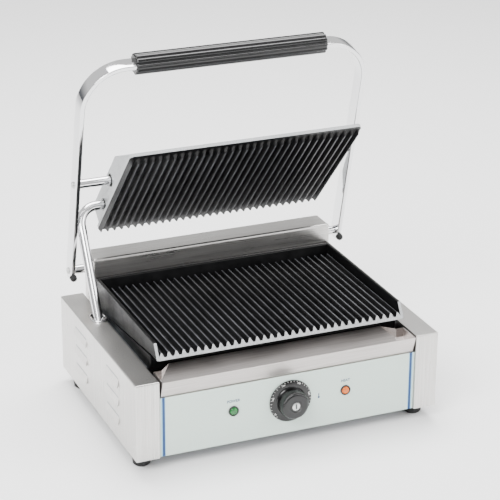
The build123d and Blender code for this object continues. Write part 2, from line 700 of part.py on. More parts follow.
BULB_Y = PANEL_Y + SHELF_D + 16
with BuildPart() as capillary:
    with BuildLine(Plane.YZ.offset(16)) as cap:
        FilletPolyline(
            (STAT_Y + STAT_D, KNOB_PLANE_Z - 8),
            (BULB_Y - 8, KNOB_PLANE_Z - 8),
            (BULB_Y - 8, SHIELD_Z - 6),
            (BULB_Y + 60, SHIELD_Z - 6),
            radius=6,
        )
    with BuildSketch(Plane(cap.line @ 0, z_dir=cap.line % 0)):
        Circle(1.1)
    sweep(path=cap.line)
    with BuildSketch(Plane.XZ.offset(-(BULB_Y + 60))):
        with Locations((16, SHIELD_Z - 6)):
            Circle(3.0)
    extrude(amount=-60)
save(capillary, "thermostat_sensor")

with BuildPart() as spindle:
    with BuildSketch(face_at(STAT_Y + 13)):
        with Locations((0, KNOB_PLANE_Z)):
            Circle(SPINDLE_D / 2)
    extrude(amount=13 + SHEET + LABEL_T + 12)
save(spindle, "thermostat_spindle")

SKIRT_BACK = LABEL_Y - KNOB_GAP
KNOB_FRONT = FRONT_Y - KNOB_OUT
with BuildPart() as knob:
    with BuildSketch(Plane.YZ):
        with BuildLine():
            Polyline(
                (SKIRT_BACK, KNOB_PLANE_Z),
                (SKIRT_BACK, KNOB_PLANE_Z + KNOB_D / 2),
                (SKIRT_BACK - 1.2, KNOB_PLANE_Z + KNOB_D / 2),
                (SKIRT_BACK - KNOB_SKIRT_T, KNOB_PLANE_Z + KNOB_HUB_D / 2 + 2.5),
                (SKIRT_BACK - KNOB_SKIRT_T, KNOB_PLANE_Z + KNOB_HUB_D / 2),
                (KNOB_FRONT + 2, KNOB_PLANE_Z + KNOB_HUB_D / 2 - 1.2),
                (KNOB_FRONT, KNOB_PLANE_Z + KNOB_HUB_D / 2 - 3.2),
                (KNOB_FRONT, KNOB_PLANE_Z + INSERT_D / 2),
                (KNOB_FRONT + 1.5, KNOB_PLANE_Z + INSERT_D / 2),
                (KNOB_FRONT + 1.5, KNOB_PLANE_Z),
                close=True,
            )
        make_face()
    revolve(axis=Axis((0, 0, KNOB_PLANE_Z), (0, 1, 0)))
    with BuildSketch(face_at(SKIRT_BACK)):
        with Locations((0, KNOB_PLANE_Z)):
            Circle(SPINDLE_D / 2)
    extrude(amount=12 - KNOB_GAP, mode=Mode.SUBTRACT)
save(knob, "control_knob")

with BuildPart() as insert:
    with BuildSketch(face_at(KNOB_FRONT + 1.5)):
        with Locations((0, KNOB_PLANE_Z)):
            Circle(INSERT_D / 2)
    extrude(amount=1.5)
    with BuildSketch(face_at(KNOB_FRONT)):
        with Locations((0, KNOB_PLANE_Z)):
            Rectangle(1.4, INSERT_D - 3)
    extrude(amount=-0.5, mode=Mode.SUBTRACT)
save(insert, "knob_insert")


def lamp(x, name):
    """Indicator: a threaded body through the panel and a bezel, with a domed lens."""
    with BuildPart() as body:
        with BuildSketch(face_at(PANEL_Y + SHEET + 18)):
            with Locations((x, KNOB_PLANE_Z)):
                Circle(LAMP_BODY_D / 2)
        extrude(amount=SHEET + 18 + LABEL_T)
        with BuildSketch(face_at(LABEL_Y)):
            with Locations((x, KNOB_PLANE_Z)):
                Circle(LAMP_D / 2)
        extrude(amount=1.6)
        with BuildSketch(face_at(LABEL_Y - 1.6)):
            with Locations((x, KNOB_PLANE_Z)):
                Circle(LAMP_LENS_D / 2)
        extrude(amount=-1.0, mode=Mode.SUBTRACT)
    save(body, name + "_lamp_body")
    with BuildPart() as lens:
        with BuildSketch(face_at(LABEL_Y - 0.6)):
            with Locations((x, KNOB_PLANE_Z)):
                Circle(LAMP_LENS_D / 2)
        extrude(amount=3.0)
        fillet(lens.faces().sort_by(Axis.Y)[0].edges(), 2.0)
    save(lens, name + "_lamp_lens")
    return body, lens


power_lamp = lamp(-LAMP_X, "power")
heat_lamp = lamp(LAMP_X, "heat")

# ================================================================ base: drip tray
TRAY_X = IN_X - TRAY_GAP
TRAY_Y0 = FRONT_Y - TRAY_OUT
TRAY_TOP = TRAY_Z + TRAY_H


def tray_block(t):
    """Tray body, shrunk by the wall t: side profile crossed with the plan outline."""
    with BuildPart() as side:
        with BuildSketch(side_at(-TRAY_X + t)):
            with BuildLine():
                Polyline(
                    (TRAY_Y0 + t, TRAY_TOP + (1 if t else 0)),
                    (TRAY_Y0 + t + TRAY_LEAN * (1 - t / TRAY_H), TRAY_Z + t),
                    (TRAY_Y0 + t + TRAY_LEAN + TRAY_FLAT, TRAY_Z + t),
                    (TRAY_Y0 + TRAY_D - t, TRAY_TOP + (1 if t else 0)),
                    close=True,
                )
            make_face()
        extrude(amount=2 * (TRAY_X - t))
    with BuildPart() as plan:
        with BuildSketch(Plane.XY.offset(TRAY_Z - 1)):
            e = t * 0.4
            with BuildLine():
                Polyline(
                    (-TRAY_X + t, TRAY_Y0 - 1),
                    (TRAY_X - t, TRAY_Y0 - 1),
                    (TRAY_X - t, TRAY_Y0 + TRAY_EAR_D - t),
                    (TRAY_X - TRAY_EAR_W - e, TRAY_Y0 + TRAY_EAR_D - t),
                    (TRAY_X - TRAY_EAR_W - TRAY_DIAG - e, TRAY_Y0 + TRAY_EAR_D + TRAY_DIAG - t),
                    (-TRAY_X + TRAY_EAR_W + TRAY_DIAG + e, TRAY_Y0 + TRAY_EAR_D + TRAY_DIAG - t),
                    (-TRAY_X + TRAY_EAR_W + e, TRAY_Y0 + TRAY_EAR_D - t),
                    (-TRAY_X + t, TRAY_Y0 + TRAY_EAR_D - t),
                    close=True,
                )
            make_face()
        extrude(amount=TRAY_H + 4)
    return side.part & plan.part


tray_outer = tray_block(0)
tray_inner = tray_block(TRAY_T)
with BuildPart() as drip_tray:
    add(tray_outer)
    add(tray_inner, mode=Mode.SUBTRACT)
save(drip_tray, "drip_tray")

# ================================================================ base: conduit ring
RING_L = RING_SLOT_L + 2 * RING_WALL
RING_W = RING_SLOT_W + 2 * RING_WALL
with BuildPart() as conduit_ring:
    with BuildSketch(Plane.XY.offset(TOP_Z)):
        with Locations((TUBE_X, RING_Y)):
            SlotOverall(RING_L, RING_W, rotation=90)
    extrude(amount=RING_T)
    fillet(conduit_ring.faces().sort_by(Axis.Z)[-1].edges(), 0.8)
    with BuildSketch(Plane.XY.offset(TOP_Z)):
        with Locations((TUBE_X, RING_Y)):
            SlotOverall(RING_SLOT_L, RING_SLOT_W, rotation=90)
    extrude(amount=RING_T, mode=Mode.SUBTRACT)
save(conduit_ring, "conduit_ring")

# ================================================================ base: hinge brackets, bushes, springs
BRACKET_X = HOUSE_X - 22
with BuildPart() as hinge_brackets:
    for sign in (-1, 1):
        with BuildSketch(Plane.YZ.offset(sign * BRACKET_X - 2)):
            with Locations((HOUSE_Y + SHEET + (HOUSING_D - 2 * SHEET - 2) / 2, O_Z - 28)):
                Rectangle(HOUSING_D - 2 * SHEET - 2, 84)
            with Locations((O_Y, O_Z)):
                Circle(SHAFT_D / 2 + 0.4, mode=Mode.SUBTRACT)
        extrude(amount=4)
        with BuildSketch(Plane.XZ.offset(-(HOUSE_Y + SHEET + 2))):
            with Locations((sign * (BRACKET_X - 12), O_Z - 28)):
                Rectangle(24, 84)
        extrude(amount=2)
save(hinge_brackets, "hinge_brackets")

with BuildPart() as hinge_bushes:
    for sign in (-1, 1):
        with BuildSketch(Plane.YZ.offset(sign * (HOUSE_X + 1.2))):
            with Locations((O_Y, O_Z)):
                Circle(BUSH_R)
        extrude(amount=-sign * 8)
        with BuildSketch(Plane.YZ.offset(sign * (HOUSE_X - SHEET))):
            with Locations((O_Y, O_Z)):
                Circle(BUSH_R + 0.6)
        extrude(amount=-sign * 2)
    with BuildSketch(Plane.YZ.offset(-HOUSE_X - 5)):
        with Locations((O_Y, O_Z)):
            Circle(SHAFT_D / 2 + RUN_GAP)
    extrude(amount=2 * HOUSE_X + 10, mode=Mode.SUBTRACT)
save(hinge_bushes, "hinge_bushes")

SPRING_WIRE = 1.1         # wire radius
SPRING_TURNS = 14
SPRING_R = SHAFT_D / 2 + 0.5


def coil(sign, name):
    """Counterbalance spring as close wound coils round the hinge shaft."""
    x_far = sign * (BRACKET_X - 3)
    step = sign * 2 * SPRING_WIRE * 0.96
    with BuildPart() as spring:
        with BuildSketch(Plane.XY.offset(O_Z)):
            for i in range(SPRING_TURNS):
                with Locations((x_far - step * (i + 0.5), O_Y + SPRING_R + SPRING_WIRE)):
                    Circle(SPRING_WIRE)
        revolve(axis=Axis((0, O_Y, O_Z), (1, 0, 0)))
    save(spring, name)
    return spring


left_spring = coil(-1, "left_counterbalance_spring")
right_spring = coil(1, "right_counterbalance_spring")

# ================================================================ handle
with BuildPart() as hinge_shaft:
    with BuildSketch(Plane.YZ.offset(-LEG_X)):
        with Locations((O_Y, O_Z)):
            Circle(SHAFT_D / 2)
    extrude(amount=2 * LEG_X)
save(hinge_shaft, "hinge_shaft")

COLLAR_X = BRACKET_X - 3 - SPRING_TURNS * 2 * SPRING_WIRE - 1
with BuildPart() as spring_collars:
    for sign in (-1, 1):
        with BuildSketch(Plane.YZ.offset(sign * COLLAR_X)):
            with Locations((O_Y, O_Z)):
                Circle(SHAFT_D / 2 + 2.5)
                Circle(SHAFT_D / 2, mode=Mode.SUBTRACT)
        extrude(amount=-sign * 8)
save(spring_collars, "spring_collars")

# the bar is bent in one plane that leans with the handle
bar_plane = Plane(origin=(0, O_Y, O_Z), x_dir=(1, 0, 0), z_dir=(0, -lean_c, -lean_s))
BAR_TOP = GRIP_T + LEG_T / 2
with BuildPart() as handle_frame:
    with BuildSketch(bar_plane.offset(-LEG_W / 2)):
        with BuildLine():
            FilletPolyline(
                (-LEG_OUT, -LEG_FOOT),
                (-LEG_OUT, BAR_TOP),
                (LEG_OUT, BAR_TOP),
                (LEG_OUT, -LEG_FOOT),
                radius=BEND_R,
            )
            Line((LEG_OUT, -LEG_FOOT), (LEG_X, -LEG_FOOT))
            FilletPolyline(
                (LEG_X, -LEG_FOOT),
                (LEG_X, BAR_TOP - LEG_T),
                (-LEG_X, BAR_TOP - LEG_T),
                (-LEG_X, -LEG_FOOT),
                radius=BEND_R - LEG_T,
            )
            Line((-LEG_X, -LEG_FOOT), (-LEG_OUT, -LEG_FOOT))
        make_face()
    extrude(amount=LEG_W)
    foot_edges = handle_frame.edges().filter_by(Axis.X).sort_by(Axis.Z)[:4]
    fillet(foot_edges, LEG_W / 2 - 1)
    with BuildSketch(Plane.YZ.offset(-LEG_OUT - 1)):
        with Locations((P_Y, P_Z), (O_Y, O_Z)):
            Circle(3.0)
    extrude(amount=2 * LEG_OUT + 2, mode=Mode.SUBTRACT)
save(handle_frame, "handle_frame")

grip_plane = Plane(
    origin=(GRIP_SHIFT - GRIP_L / 2, O_Y + GRIP_T * LEG_AXIS[0], O_Z + GRIP_T * LEG_AXIS[1]),
    x_dir=(0, -lean_c, -lean_s),
    z_dir=(1, 0, 0),
)
with BuildPart() as handle_grip:
    with BuildSketch(grip_plane):
        Circle(GRIP_D / 2)
    extrude(amount=GRIP_L)
    fillet(handle_grip.edges().filter_by(GeomType.CIRCLE), 2.5)
    with BuildSketch(grip_plane.offset(-1)):
        with PolarLocations(GRIP_D / 2, GRIP_FLUTES):
            Circle(1.6)
    extrude(amount=GRIP_L + 2, mode=Mode.SUBTRACT)
    with BuildSketch(grip_plane.offset(-1)):
        Rectangle(LEG_W, LEG_T)
    extrude(amount=GRIP_L + 2, mode=Mode.SUBTRACT)
save(handle_grip, "handle_grip")


def pivot_rod(sign, name):
    """Rod from the handle leg into the upper housing's bush."""
    inner = UP_X0 + ROD_IN if sign < 0 else UP_X1 - ROD_IN
    with BuildPart() as rod:
        with BuildSketch(Plane.YZ.offset(sign * LEG_X)):
            with Locations((P_Y, P_Z)):
                Circle(ROD_D / 2)
        extrude(amount=-sign * abs(inner - sign * LEG_X))
        with BuildSketch(Plane.YZ.offset(sign * LEG_X)):
            with Locations((P_Y, P_Z)):
                Circle(2.9)
        extrude(amount=-sign * 12, mode=Mode.SUBTRACT)
    save(rod, name)
    return rod


left_rod = pivot_rod(-1, "left_pivot_rod")
right_rod = pivot_rod(1, "right_pivot_rod")

with BuildPart() as leg_screws:
    for sign in (-1, 1):
        for y, z, depth in ((P_Y, P_Z, 11.0), (O_Y, O_Z, 0.0)):
            with BuildSketch(Plane.YZ.offset(sign * LEG_OUT)):
                with Locations((y, z)):
                    Circle(2.9)
            extrude(amount=-sign * (LEG_T + depth))
            with BuildSketch(Plane.YZ.offset(sign * LEG_OUT)):
                with Locations((y, z)):
                    Circle(4.5)
            extrude(amount=sign * 2.2, taper=18)
save(leg_screws, "leg_screws")

BUMP_T = -LEG_FOOT + BUMP_D / 2 + 2.5
with BuildPart() as leg_bumpers:
    for sign in (-1, 1):
        bx = sign * (LEG_X + LEG_T / 2)
        front = bar_plane.offset(LEG_W / 2)
        with BuildSketch(front):
            with Locations((bx, BUMP_T)):
                Circle(BUMP_D / 2)
        extrude(amount=BUMP_OUT, taper=8)
save(leg_bumpers, "leg_bumpers")

# ================================================================ upper plate
UP = frame_at(F_Y, F_Z, TILT_OPEN, UP_SHIFT)
UP_RIB_N = int((2 * UP_HALF - 2) / RIB_PITCH)
RIB_TILT = Plane(
    origin=(UP_SHIFT, F_Y + (UP_L - 1) * BACK[0], F_Z + (UP_L - 1) * BACK[1]),
    x_dir=(1, 0, 0),
    z_dir=(0, -BACK[0], -BACK[1]),
)
with BuildPart() as upper_plate:
    with BuildSketch(UP.offset(RIB_H)):
        with Locations((0, UP_L / 2)):
            RectangleRounded(2 * UP_HALF, UP_L, 6)
    extrude(amount=UP_PLATE_T - RIB_H)
    with BuildSketch(RIB_TILT):
        with BuildLine():
            Polyline(
                *rib_row(UP_RIB_N, RIB_PITCH, RIB_H, 0.0, RIB_PEAK, RIB_VALLEY),
                (UP_RIB_N * RIB_PITCH / 2 - RIB_VALLEY / 2, RIB_H + 1),
                (-UP_RIB_N * RIB_PITCH / 2 + RIB_VALLEY / 2, RIB_H + 1),
                close=True,
            )
        make_face()
    extrude(amount=UP_L - 1 - 5)
    # the ribs' front ends are bevelled
    with BuildSketch(side_at(UP_X0 - 1, F_Y, F_Z, TILT_OPEN)):
        with BuildLine():
            Polyline((-1, -1), (12, -1), (12, 0), (5, RIB_H), (-1, RIB_H), close=True)
        make_face()
    extrude(amount=2 * UP_HALF + 2, mode=Mode.SUBTRACT)
save(upper_plate, "upper_grill_plate")

# hollow housing with the sloping front
with BuildPart() as upper_housing:
    with BuildSketch(side_at(UP_X0 + UP_HOUSE_IN, F_Y, F_Z, TILT_OPEN)):
        with BuildLine():
            Polyline(
                ((UP_PLATE_T - UP_NOSE) * UP_SLOPE_D / (UP_T - UP_NOSE) + 1, UP_PLATE_T),
                (UP_SLOPE_D, UP_T),
                (UP_L - LID_SHORT, UP_T),
                (UP_L - LID_SHORT, UP_PLATE_T),
                close=True,
            )
        make_face()
    extrude(amount=2 * (UP_HALF - UP_HOUSE_IN))
    slope_in = (UP_PLATE_T - UP_NOSE) * UP_SLOPE_D / (UP_T - UP_NOSE) + 1
    with BuildSketch(side_at(UP_X0 + UP_HOUSE_IN + UP_WALL, F_Y, F_Z, TILT_OPEN)):
        with BuildLine():
            Polyline(
                (slope_in + 8, UP_PLATE_T),
                (UP_SLOPE_D + 2, UP_T - UP_WALL),
                (UP_L - LID_SHORT - UP_WALL, UP_T - UP_WALL),
                (UP_L - LID_SHORT - UP_WALL, UP_PLATE_T),
                close=True,
            )
        make_face()
    extrude(amount=2 * (UP_HALF - UP_HOUSE_IN - UP_WALL), mode=Mode.SUBTRACT)
    # bush bores and the conduit's bore
    with BuildSketch(Plane.YZ.offset(UP_X0 - 1)):
        with Locations((P_Y, P_Z)):
            Circle(ROD_D / 2 + RUN_GAP + BUSH_T)
    extrude(amount=2 * UP_HALF + 2, mode=Mode.SUBTRACT)
    with BuildSketch(Plane.YZ.offset(UP_X0 - 1)):
        with Locations((Q_Y, Q_Z)):
            Circle(TUBE_D / 2 + RUN_GAP + 2.0)
    extrude(amount=UP_HOUSE_IN + UP_WALL + 4, mode=Mode.SUBTRACT)
save(upper_housing, "upper_housing")

with BuildPart() as pivot_bushes:
    for x0, sign in ((UP_X0 + UP_HOUSE_IN, 1), (UP_X1 - UP_HOUSE_IN, -1)):
        with BuildSketch(Plane.YZ.offset(x0)):
            with Locations((P_Y, P_Z)):
                Circle(ROD_D / 2 + RUN_GAP + BUSH_T)
        extrude(amount=sign * (ROD_IN - UP_HOUSE_IN - 2))
        with BuildSketch(Plane.YZ.offset(x0 + sign * UP_WALL)):
            with Locations((P_Y, P_Z)):
                Circle(ROD_D / 2 + BUSH_T + 1.0)
        extrude(amount=sign * 2.5)
    with BuildSketch(Plane.YZ.offset(UP_X0 - 2)):
        with Locations((P_Y, P_Z)):
            Circle(ROD_D / 2 + RUN_GAP)
    extrude(amount=2 * UP_HALF + 4, mode=Mode.SUBTRACT)
save(pivot_bushes, "pivot_bushes")

with BuildPart() as conduit_bush:
    with BuildSketch(Plane.YZ.offset(UP_X0 + UP_HOUSE_IN - 1.5)):
        with Locations((Q_Y, Q_Z)):
            Circle(TUBE_D / 2 + RUN_GAP + 2.0)
    extrude(amount=UP_WALL + 1.5)
    with BuildSketch(Plane.YZ.offset(UP_X0 + UP_HOUSE_IN + UP_WALL)):
        with Locations((Q_Y, Q_Z)):
            Circle(TUBE_D / 2 + 3.2)
    extrude(amount=6)
    with BuildSketch(Plane.YZ.offset(UP_X0 - 2)):
        with Locations((Q_Y, Q_Z)):
            Circle(TUBE_D / 2 + RUN_GAP)
    extrude(amount=UP_HOUSE_IN + UP_WALL + 20, mode=Mode.SUBTRACT)
save(conduit_bush, "conduit_bush")

UE_N = UP_PLATE_T + ELEM_D / 2
UE_S = UP_SLOPE_D / 2 + UP_L / 2 - 8
with BuildPart() as upper_element:
    pts = element_path(0, UE_S, ELEM_W, ELEM_L * 0.62)
    with BuildLine(UP.offset(UE_N)) as upath:
        FilletPolyline(*pts, radius=9)
    with BuildSketch(Plane(upath.line @ 0, z_dir=upath.line % 0)):
        Circle(ELEM_D / 2)
    sweep(path=upath.line)
save(upper_element, "upper_heating_element")

U_STUDS = [(sx * 100.0, UE_S + sy * 22.0) for sx in (-1, 1) for sy in (-1, 1)]
with BuildPart() as upper_clamp:
    with BuildSketch(UP.offset(UE_N + ELEM_D / 2)):
        with Locations((0, UE_S - 4)):
            Rectangle(ELEM_W + 20, 56)
        with Locations(*U_STUDS):
            Circle(3.2, mode=Mode.SUBTRACT)
    extrude(amount=CLAMP_T)
save(upper_clamp, "upper_element_clamp")

with BuildPart() as upper_studs:
    with BuildSketch(UP.offset(UP_PLATE_T)):
        with Locations(*U_STUDS):
            Circle(3.0)
    extrude(amount=ELEM_D + CLAMP_T + 6)
    with BuildSketch(UP.offset(UP_PLATE_T + ELEM_D + CLAMP_T)):
        with Locations(*U_STUDS):
            RegularPolygon(5.5, 6)
    extrude(amount=4.5)
save(upper_studs, "upper_clamp_studs")

LID_SCREWS = [(sx * (UP_HALF - 26), UP_SLOPE_D + 18 + d) for sx in (-1, 1) for d in (0, 100)]
with BuildPart() as lid_screws:
    with BuildSketch(UP.offset(UP_T)):
        with Locations(*LID_SCREWS):
            Circle(4.0)
    extrude(amount=2.2, taper=15)
save(lid_screws, "upper_housing_screws")

# ================================================================ conduit
with BuildPart() as conduit:
    end_y = Q_Y + TUBE_L * TUBE_DIR[0]
    end_z = Q_Z + TUBE_L * TUBE_DIR[1]
    with BuildLine() as tube_line:
        FilletPolyline(
            (UP_X0 + TUBE_IN, Q_Y, Q_Z),
            (TUBE_X, Q_Y, Q_Z),
            (TUBE_X, end_y, end_z),
            radius=TUBE_BEND,
        )
    with BuildSketch(Plane(tube_line.line @ 0, z_dir=tube_line.line % 0)):
        Circle(TUBE_D / 2)
        Circle(TUBE_D / 2 - TUBE_WALL, mode=Mode.SUBTRACT)
    sweep(path=tube_line.line)
save(conduit, "conduit_tube")

# ================================================================ figures for the record
print("front", FRONT_Y, "back", BACK_Y, "top", TOP_Z)
print("O", O_Y, O_Z, "P", P_Y, P_Z, "Q", Q_Y, Q_Z, "F", F_Y, F_Z)
print("handle turn", HANDLE_TURN, "plate turn", PLATE_TURN, "ratio", PLATE_TURN / HANDLE_TURN)
print("ring", TUBE_X, RING_Y, RING_Z, "tube length", TUBE_L, "open run", tube_run)
print("lean open", degrees(open_lean), "lean shut", degrees(shut_lean))
print("knob axis", KNOB_PLANE_Z, "upper x", UP_X0, UP_X1, "up length", UP_L)
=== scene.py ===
import json

import bmesh
import bpy
import numpy as np
from mathutils import Matrix, Vector


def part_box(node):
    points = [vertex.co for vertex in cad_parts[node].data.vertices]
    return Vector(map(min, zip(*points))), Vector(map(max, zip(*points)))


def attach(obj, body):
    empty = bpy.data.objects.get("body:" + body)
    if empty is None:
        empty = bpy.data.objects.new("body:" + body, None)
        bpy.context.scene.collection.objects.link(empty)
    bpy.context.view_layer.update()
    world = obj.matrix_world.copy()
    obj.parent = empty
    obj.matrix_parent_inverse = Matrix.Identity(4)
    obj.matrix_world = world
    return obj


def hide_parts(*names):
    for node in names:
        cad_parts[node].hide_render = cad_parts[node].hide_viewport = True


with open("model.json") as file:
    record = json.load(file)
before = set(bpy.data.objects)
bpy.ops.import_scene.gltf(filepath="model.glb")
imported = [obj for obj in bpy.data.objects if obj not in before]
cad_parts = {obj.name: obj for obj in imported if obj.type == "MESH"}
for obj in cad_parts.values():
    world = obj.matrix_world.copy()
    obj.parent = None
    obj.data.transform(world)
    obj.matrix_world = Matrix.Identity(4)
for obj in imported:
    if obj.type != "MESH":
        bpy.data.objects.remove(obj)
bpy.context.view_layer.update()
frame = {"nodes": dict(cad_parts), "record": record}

# ------------------------------------------------------------------ sizes, in metres
MM = 0.001
JOINT = {j["name"]: j for j in frame["record"]["behaviour"]["joints"]}
HINGE = np.array(JOINT["handle_hinge"]["pos_m"])          # handle's hinge shaft
PIVOT = np.array(JOINT["upper_plate_pivot"]["pos_m"])     # rods that carry the upper plate
ELBOW = np.array(JOINT["conduit_pivot"]["pos_m"])         # conduit's end in the upper housing
DIAL = np.array(JOINT["knob_turn"]["pos_m"])              # knob's axis

TILT = np.radians(47.0)                                   # open upper plate, front up
BACK = np.array([0.0, np.cos(TILT), -np.sin(TILT)])       # backward along the upper plate
LIFT = np.array([0.0, np.sin(TILT), np.cos(TILT)])        # upward out of its lid
ROD_BACK, ROD_UP = 111 * MM, 31 * MM                      # the pivot from the plate's front
NOSE = PIVOT - ROD_BACK * BACK - ROD_UP * LIFT            # front edge, at the rib tops
LEAN = np.radians(14.0)                                   # open handle, from upright
UP_BAR = np.array([0.0, -np.sin(LEAN), np.cos(LEAN)])     # up along the handle's legs
OUT_BAR = np.array([0.0, -np.cos(LEAN), -np.sin(LEAN)])   # out of the handle's front
RIB_PITCH, RIB_PEAK, RIB_VALLEY, RIB_H = 10.2 * MM, 1.4 * MM, 3.2 * MM, 5.2 * MM

LOW, HIGH = 0, 1
LEFT_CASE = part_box("left_side_casing")
RIGHT_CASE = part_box("right_side_casing")
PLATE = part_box("lower_grill_plate")
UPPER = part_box("upper_grill_plate")
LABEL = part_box("control_label")
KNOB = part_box("control_knob")
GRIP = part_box("handle_grip")
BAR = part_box("handle_frame")


# ------------------------------------------------------------------ mesh makers
def make(name, points, faces, material, body, sharp=32.0, wave=None):
    """A closed piece from its points and faces, with outward normals and its creases kept sharp."""
    mesh = bpy.data.meshes.new(name)
    mesh.from_pydata(points.tolist(), [], faces)
    work = bmesh.new()
    work.from_mesh(mesh)
    bmesh.ops.recalc_face_normals(work, faces=work.faces)
    work.to_mesh(mesh)
    work.free()
    mesh.polygons.foreach_set("use_smooth", [True] * len(mesh.polygons))
    mesh.set_sharp_from_angle(angle=np.radians(sharp))
    if wave is not None:
        mark = mesh.attributes.new("crest", "FLOAT", "POINT")
        mark.data.foreach_set("value", wave.astype(np.float32))
    mesh.materials.append(material)
    piece = bpy.data.objects.new(name, mesh)
    bpy.context.scene.collection.objects.link(piece)
    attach(piece, body)
    return piece


def skin(name, rings, material, body, sharp=32.0, wave=None):
    """Rings of points (stations, points, 3) joined into one closed skin, with a flat cap at each end."""
    n, m, _ = rings.shape
    grid = np.arange(n * m).reshape(n, m)
    a, b = grid[:-1], grid[1:]
    quads = np.stack([a, np.roll(a, -1, 1), np.roll(b, -1, 1), b], -1).reshape(-1, 4)
    faces = quads.tolist() + [grid[0].tolist()[::-1], grid[-1].tolist()]
    return make(name, rings.reshape(-1, 3), faces, material, body, sharp, wave)


def turned(name, centre, axis, profile, material, body, sides=64, flute=None, sharp=32.0):
    """A lathe-turned piece: each (distance along the axis, radius) of the profile becomes a ring.
    flute gives a radius factor for each angle, as a function of the angle in radians."""
    axis = np.array(axis, float) / np.linalg.norm(axis)
    one = np.cross(axis, [0.3, 0.5, 0.8])
    one /= np.linalg.norm(one)
    two = np.cross(axis, one)
    t = np.linspace(0, 2 * np.pi, sides, endpoint=False)
    spoke = np.cos(t)[:, None] * one + np.sin(t)[:, None] * two
    along, radius = np.array(profile, float).T
    scale = np.ones((len(along), sides)) if flute is None else flute(t, along)
    reach = radius[:, None, None] * scale[:, :, None] * spoke[None]
    rings = np.array(centre) + along[:, None, None] * axis + reach
    return skin(name, rings, material, body, sharp)


def rounded(corners, radius, steps=6):
    """A closed 2-D outline with each corner replaced by an arc that is tangent to both sides."""
    corners = np.array(corners, float)
    radius = np.broadcast_to(radius, len(corners))
    out = []
    for i, here in enumerate(corners):
        back, on = corners[i - 1] - here, corners[(i + 1) % len(corners)] - here
        back, on = back / np.linalg.norm(back), on / np.linalg.norm(on)
        half = np.arccos(np.clip(back @ on, -1, 1)) / 2
        if radius[i] <= 0 or half > 1.55:
            out.append(here[None])
            continue
        mid = (back + on) / np.linalg.norm(back + on)
        centre = here + mid * radius[i] / np.sin(half)
        start, end = here + back * radius[i] / np.tan(half), here + on * radius[i] / np.tan(half)
        a, b = start - centre, end - centre
        turn = np.arctan2(a[0] * b[1] - a[1] * b[0], a @ b) * np.linspace(0, 1, steps)
        c, s = np.cos(turn), np.sin(turn)
        out.append(centre + np.stack([a[0] * c - a[1] * s, a[0] * s + a[1] * c], 1))
    return np.concatenate(out)


def shrink(outline, amount):
    """The outline moved inwards along each point's own normal."""
    ahead, behind = np.roll(outline, -1, 0), np.roll(outline, 1, 0)
    tangent = ahead - behind
    normal = np.stack([-tangent[:, 1], tangent[:, 0]], 1)
    normal /= np.linalg.norm(normal, axis=1)[:, None] + 1e-12
    x, y = outline.T
    area = np.sum(x * np.roll(y, -1) - np.roll(x, -1) * y)
    return outline + normal * amount * np.sign(area)


def slab(name, outline, low, high, place, material, body, edge=1.0 * MM, steps=4, sharp=32.0):
    """The outline carried from low to high, its two rims rounded by a quarter circle of radius edge.
    place turns arrays (a, b, depth) into points."""
    t = np.linspace(0, np.pi / 2, steps + 1)
    inset = np.concatenate([edge * (1 - np.sin(t)), edge * (1 - np.cos(t))])
    depth = np.concatenate([low + edge * (1 - np.cos(t)), high - edge * (1 - np.sin(t))])
    rings = []
    for i, d in zip(inset, depth):
        flat = shrink(outline, i)
        rings.append(place(flat[:, 0], flat[:, 1], np.full(len(flat), d)))
    return skin(name, np.array(rings), material, body, sharp)


def across(a, b, depth):
    """Side outline (y, z) carried along x."""
    return np.stack([depth, a, b], 1)


def forward(a, b, depth):
    """Front outline (x, z) carried along y."""
    return np.stack([a, depth, b], 1)


def lid_side(a, b, depth):
    """Side outline of the upper plate (back from its front, lift) carried along x."""
    return NOSE + depth[:, None] * np.array([1.0, 0, 0]) + a[:, None] * BACK + b[:, None] * LIFT


def tube(name, path, radius, material, body, sides=48, ends=None, sharp=32.0):
    """A round section carried along a path of points, each station's frame set square to its step and
    one fixed direction.
    ends gives each station's share of the radius."""
    path = np.array(path, float)
    step = np.gradient(path, axis=0)
    step /= np.linalg.norm(step, axis=1)[:, None]
    one = np.cross(step, [0.12, 0.86, 0.49])
    one /= np.linalg.norm(one, axis=1)[:, None]
    two = np.cross(step, one)
    t = np.linspace(0, 2 * np.pi, sides, endpoint=False)
    share = np.ones(len(path)) if ends is None else ends
    ring = np.cos(t)[None, :, None] * one[:, None] + np.sin(t)[None, :, None] * two[:, None]
    return skin(name, path[:, None] + radius * share[:, None, None] * ring, material, body, sharp)


# ------------------------------------------------------------------ materials
def linear(code):
    """An sRGB hex colour as linear RGBA."""
    c = np.array([int(code[i:i + 2], 16) / 255 for i in (1, 3, 5)])
    c = np.where(c <= 0.04045, c / 12.92, ((c + 0.055) / 1.055) ** 2.4)
    return (*c.tolist(), 1.0)


def add(tree, kind, values=(), wires=(), **settings):
    """Adds one node with its settings, its socket values and its incoming links."""
    node = tree.nodes.new(kind)
    for key, value in settings.items():
        setattr(node, key, value)
    for key, value in dict(values).items():
        node.inputs[key].default_value = value
    for key, output in dict(wires).items():
        tree.links.new(output, node.inputs[key])
    return node


def start(name, metallic=0.0, **sockets):
    """An empty material with its constant sockets set: (material, tree, shader, object position)."""
    material = bpy.data.materials.new(name)
    material.use_nodes = True
    tree = material.node_tree
    shader = tree.nodes["Principled BSDF"]
    shader.inputs["Metallic"].default_value = metallic
    for key, value in sockets.items():
        shader.inputs[key.replace("_", " ")].default_value = value
    return material, tree, shader, add(tree, "ShaderNodeTexCoord").outputs["Object"]


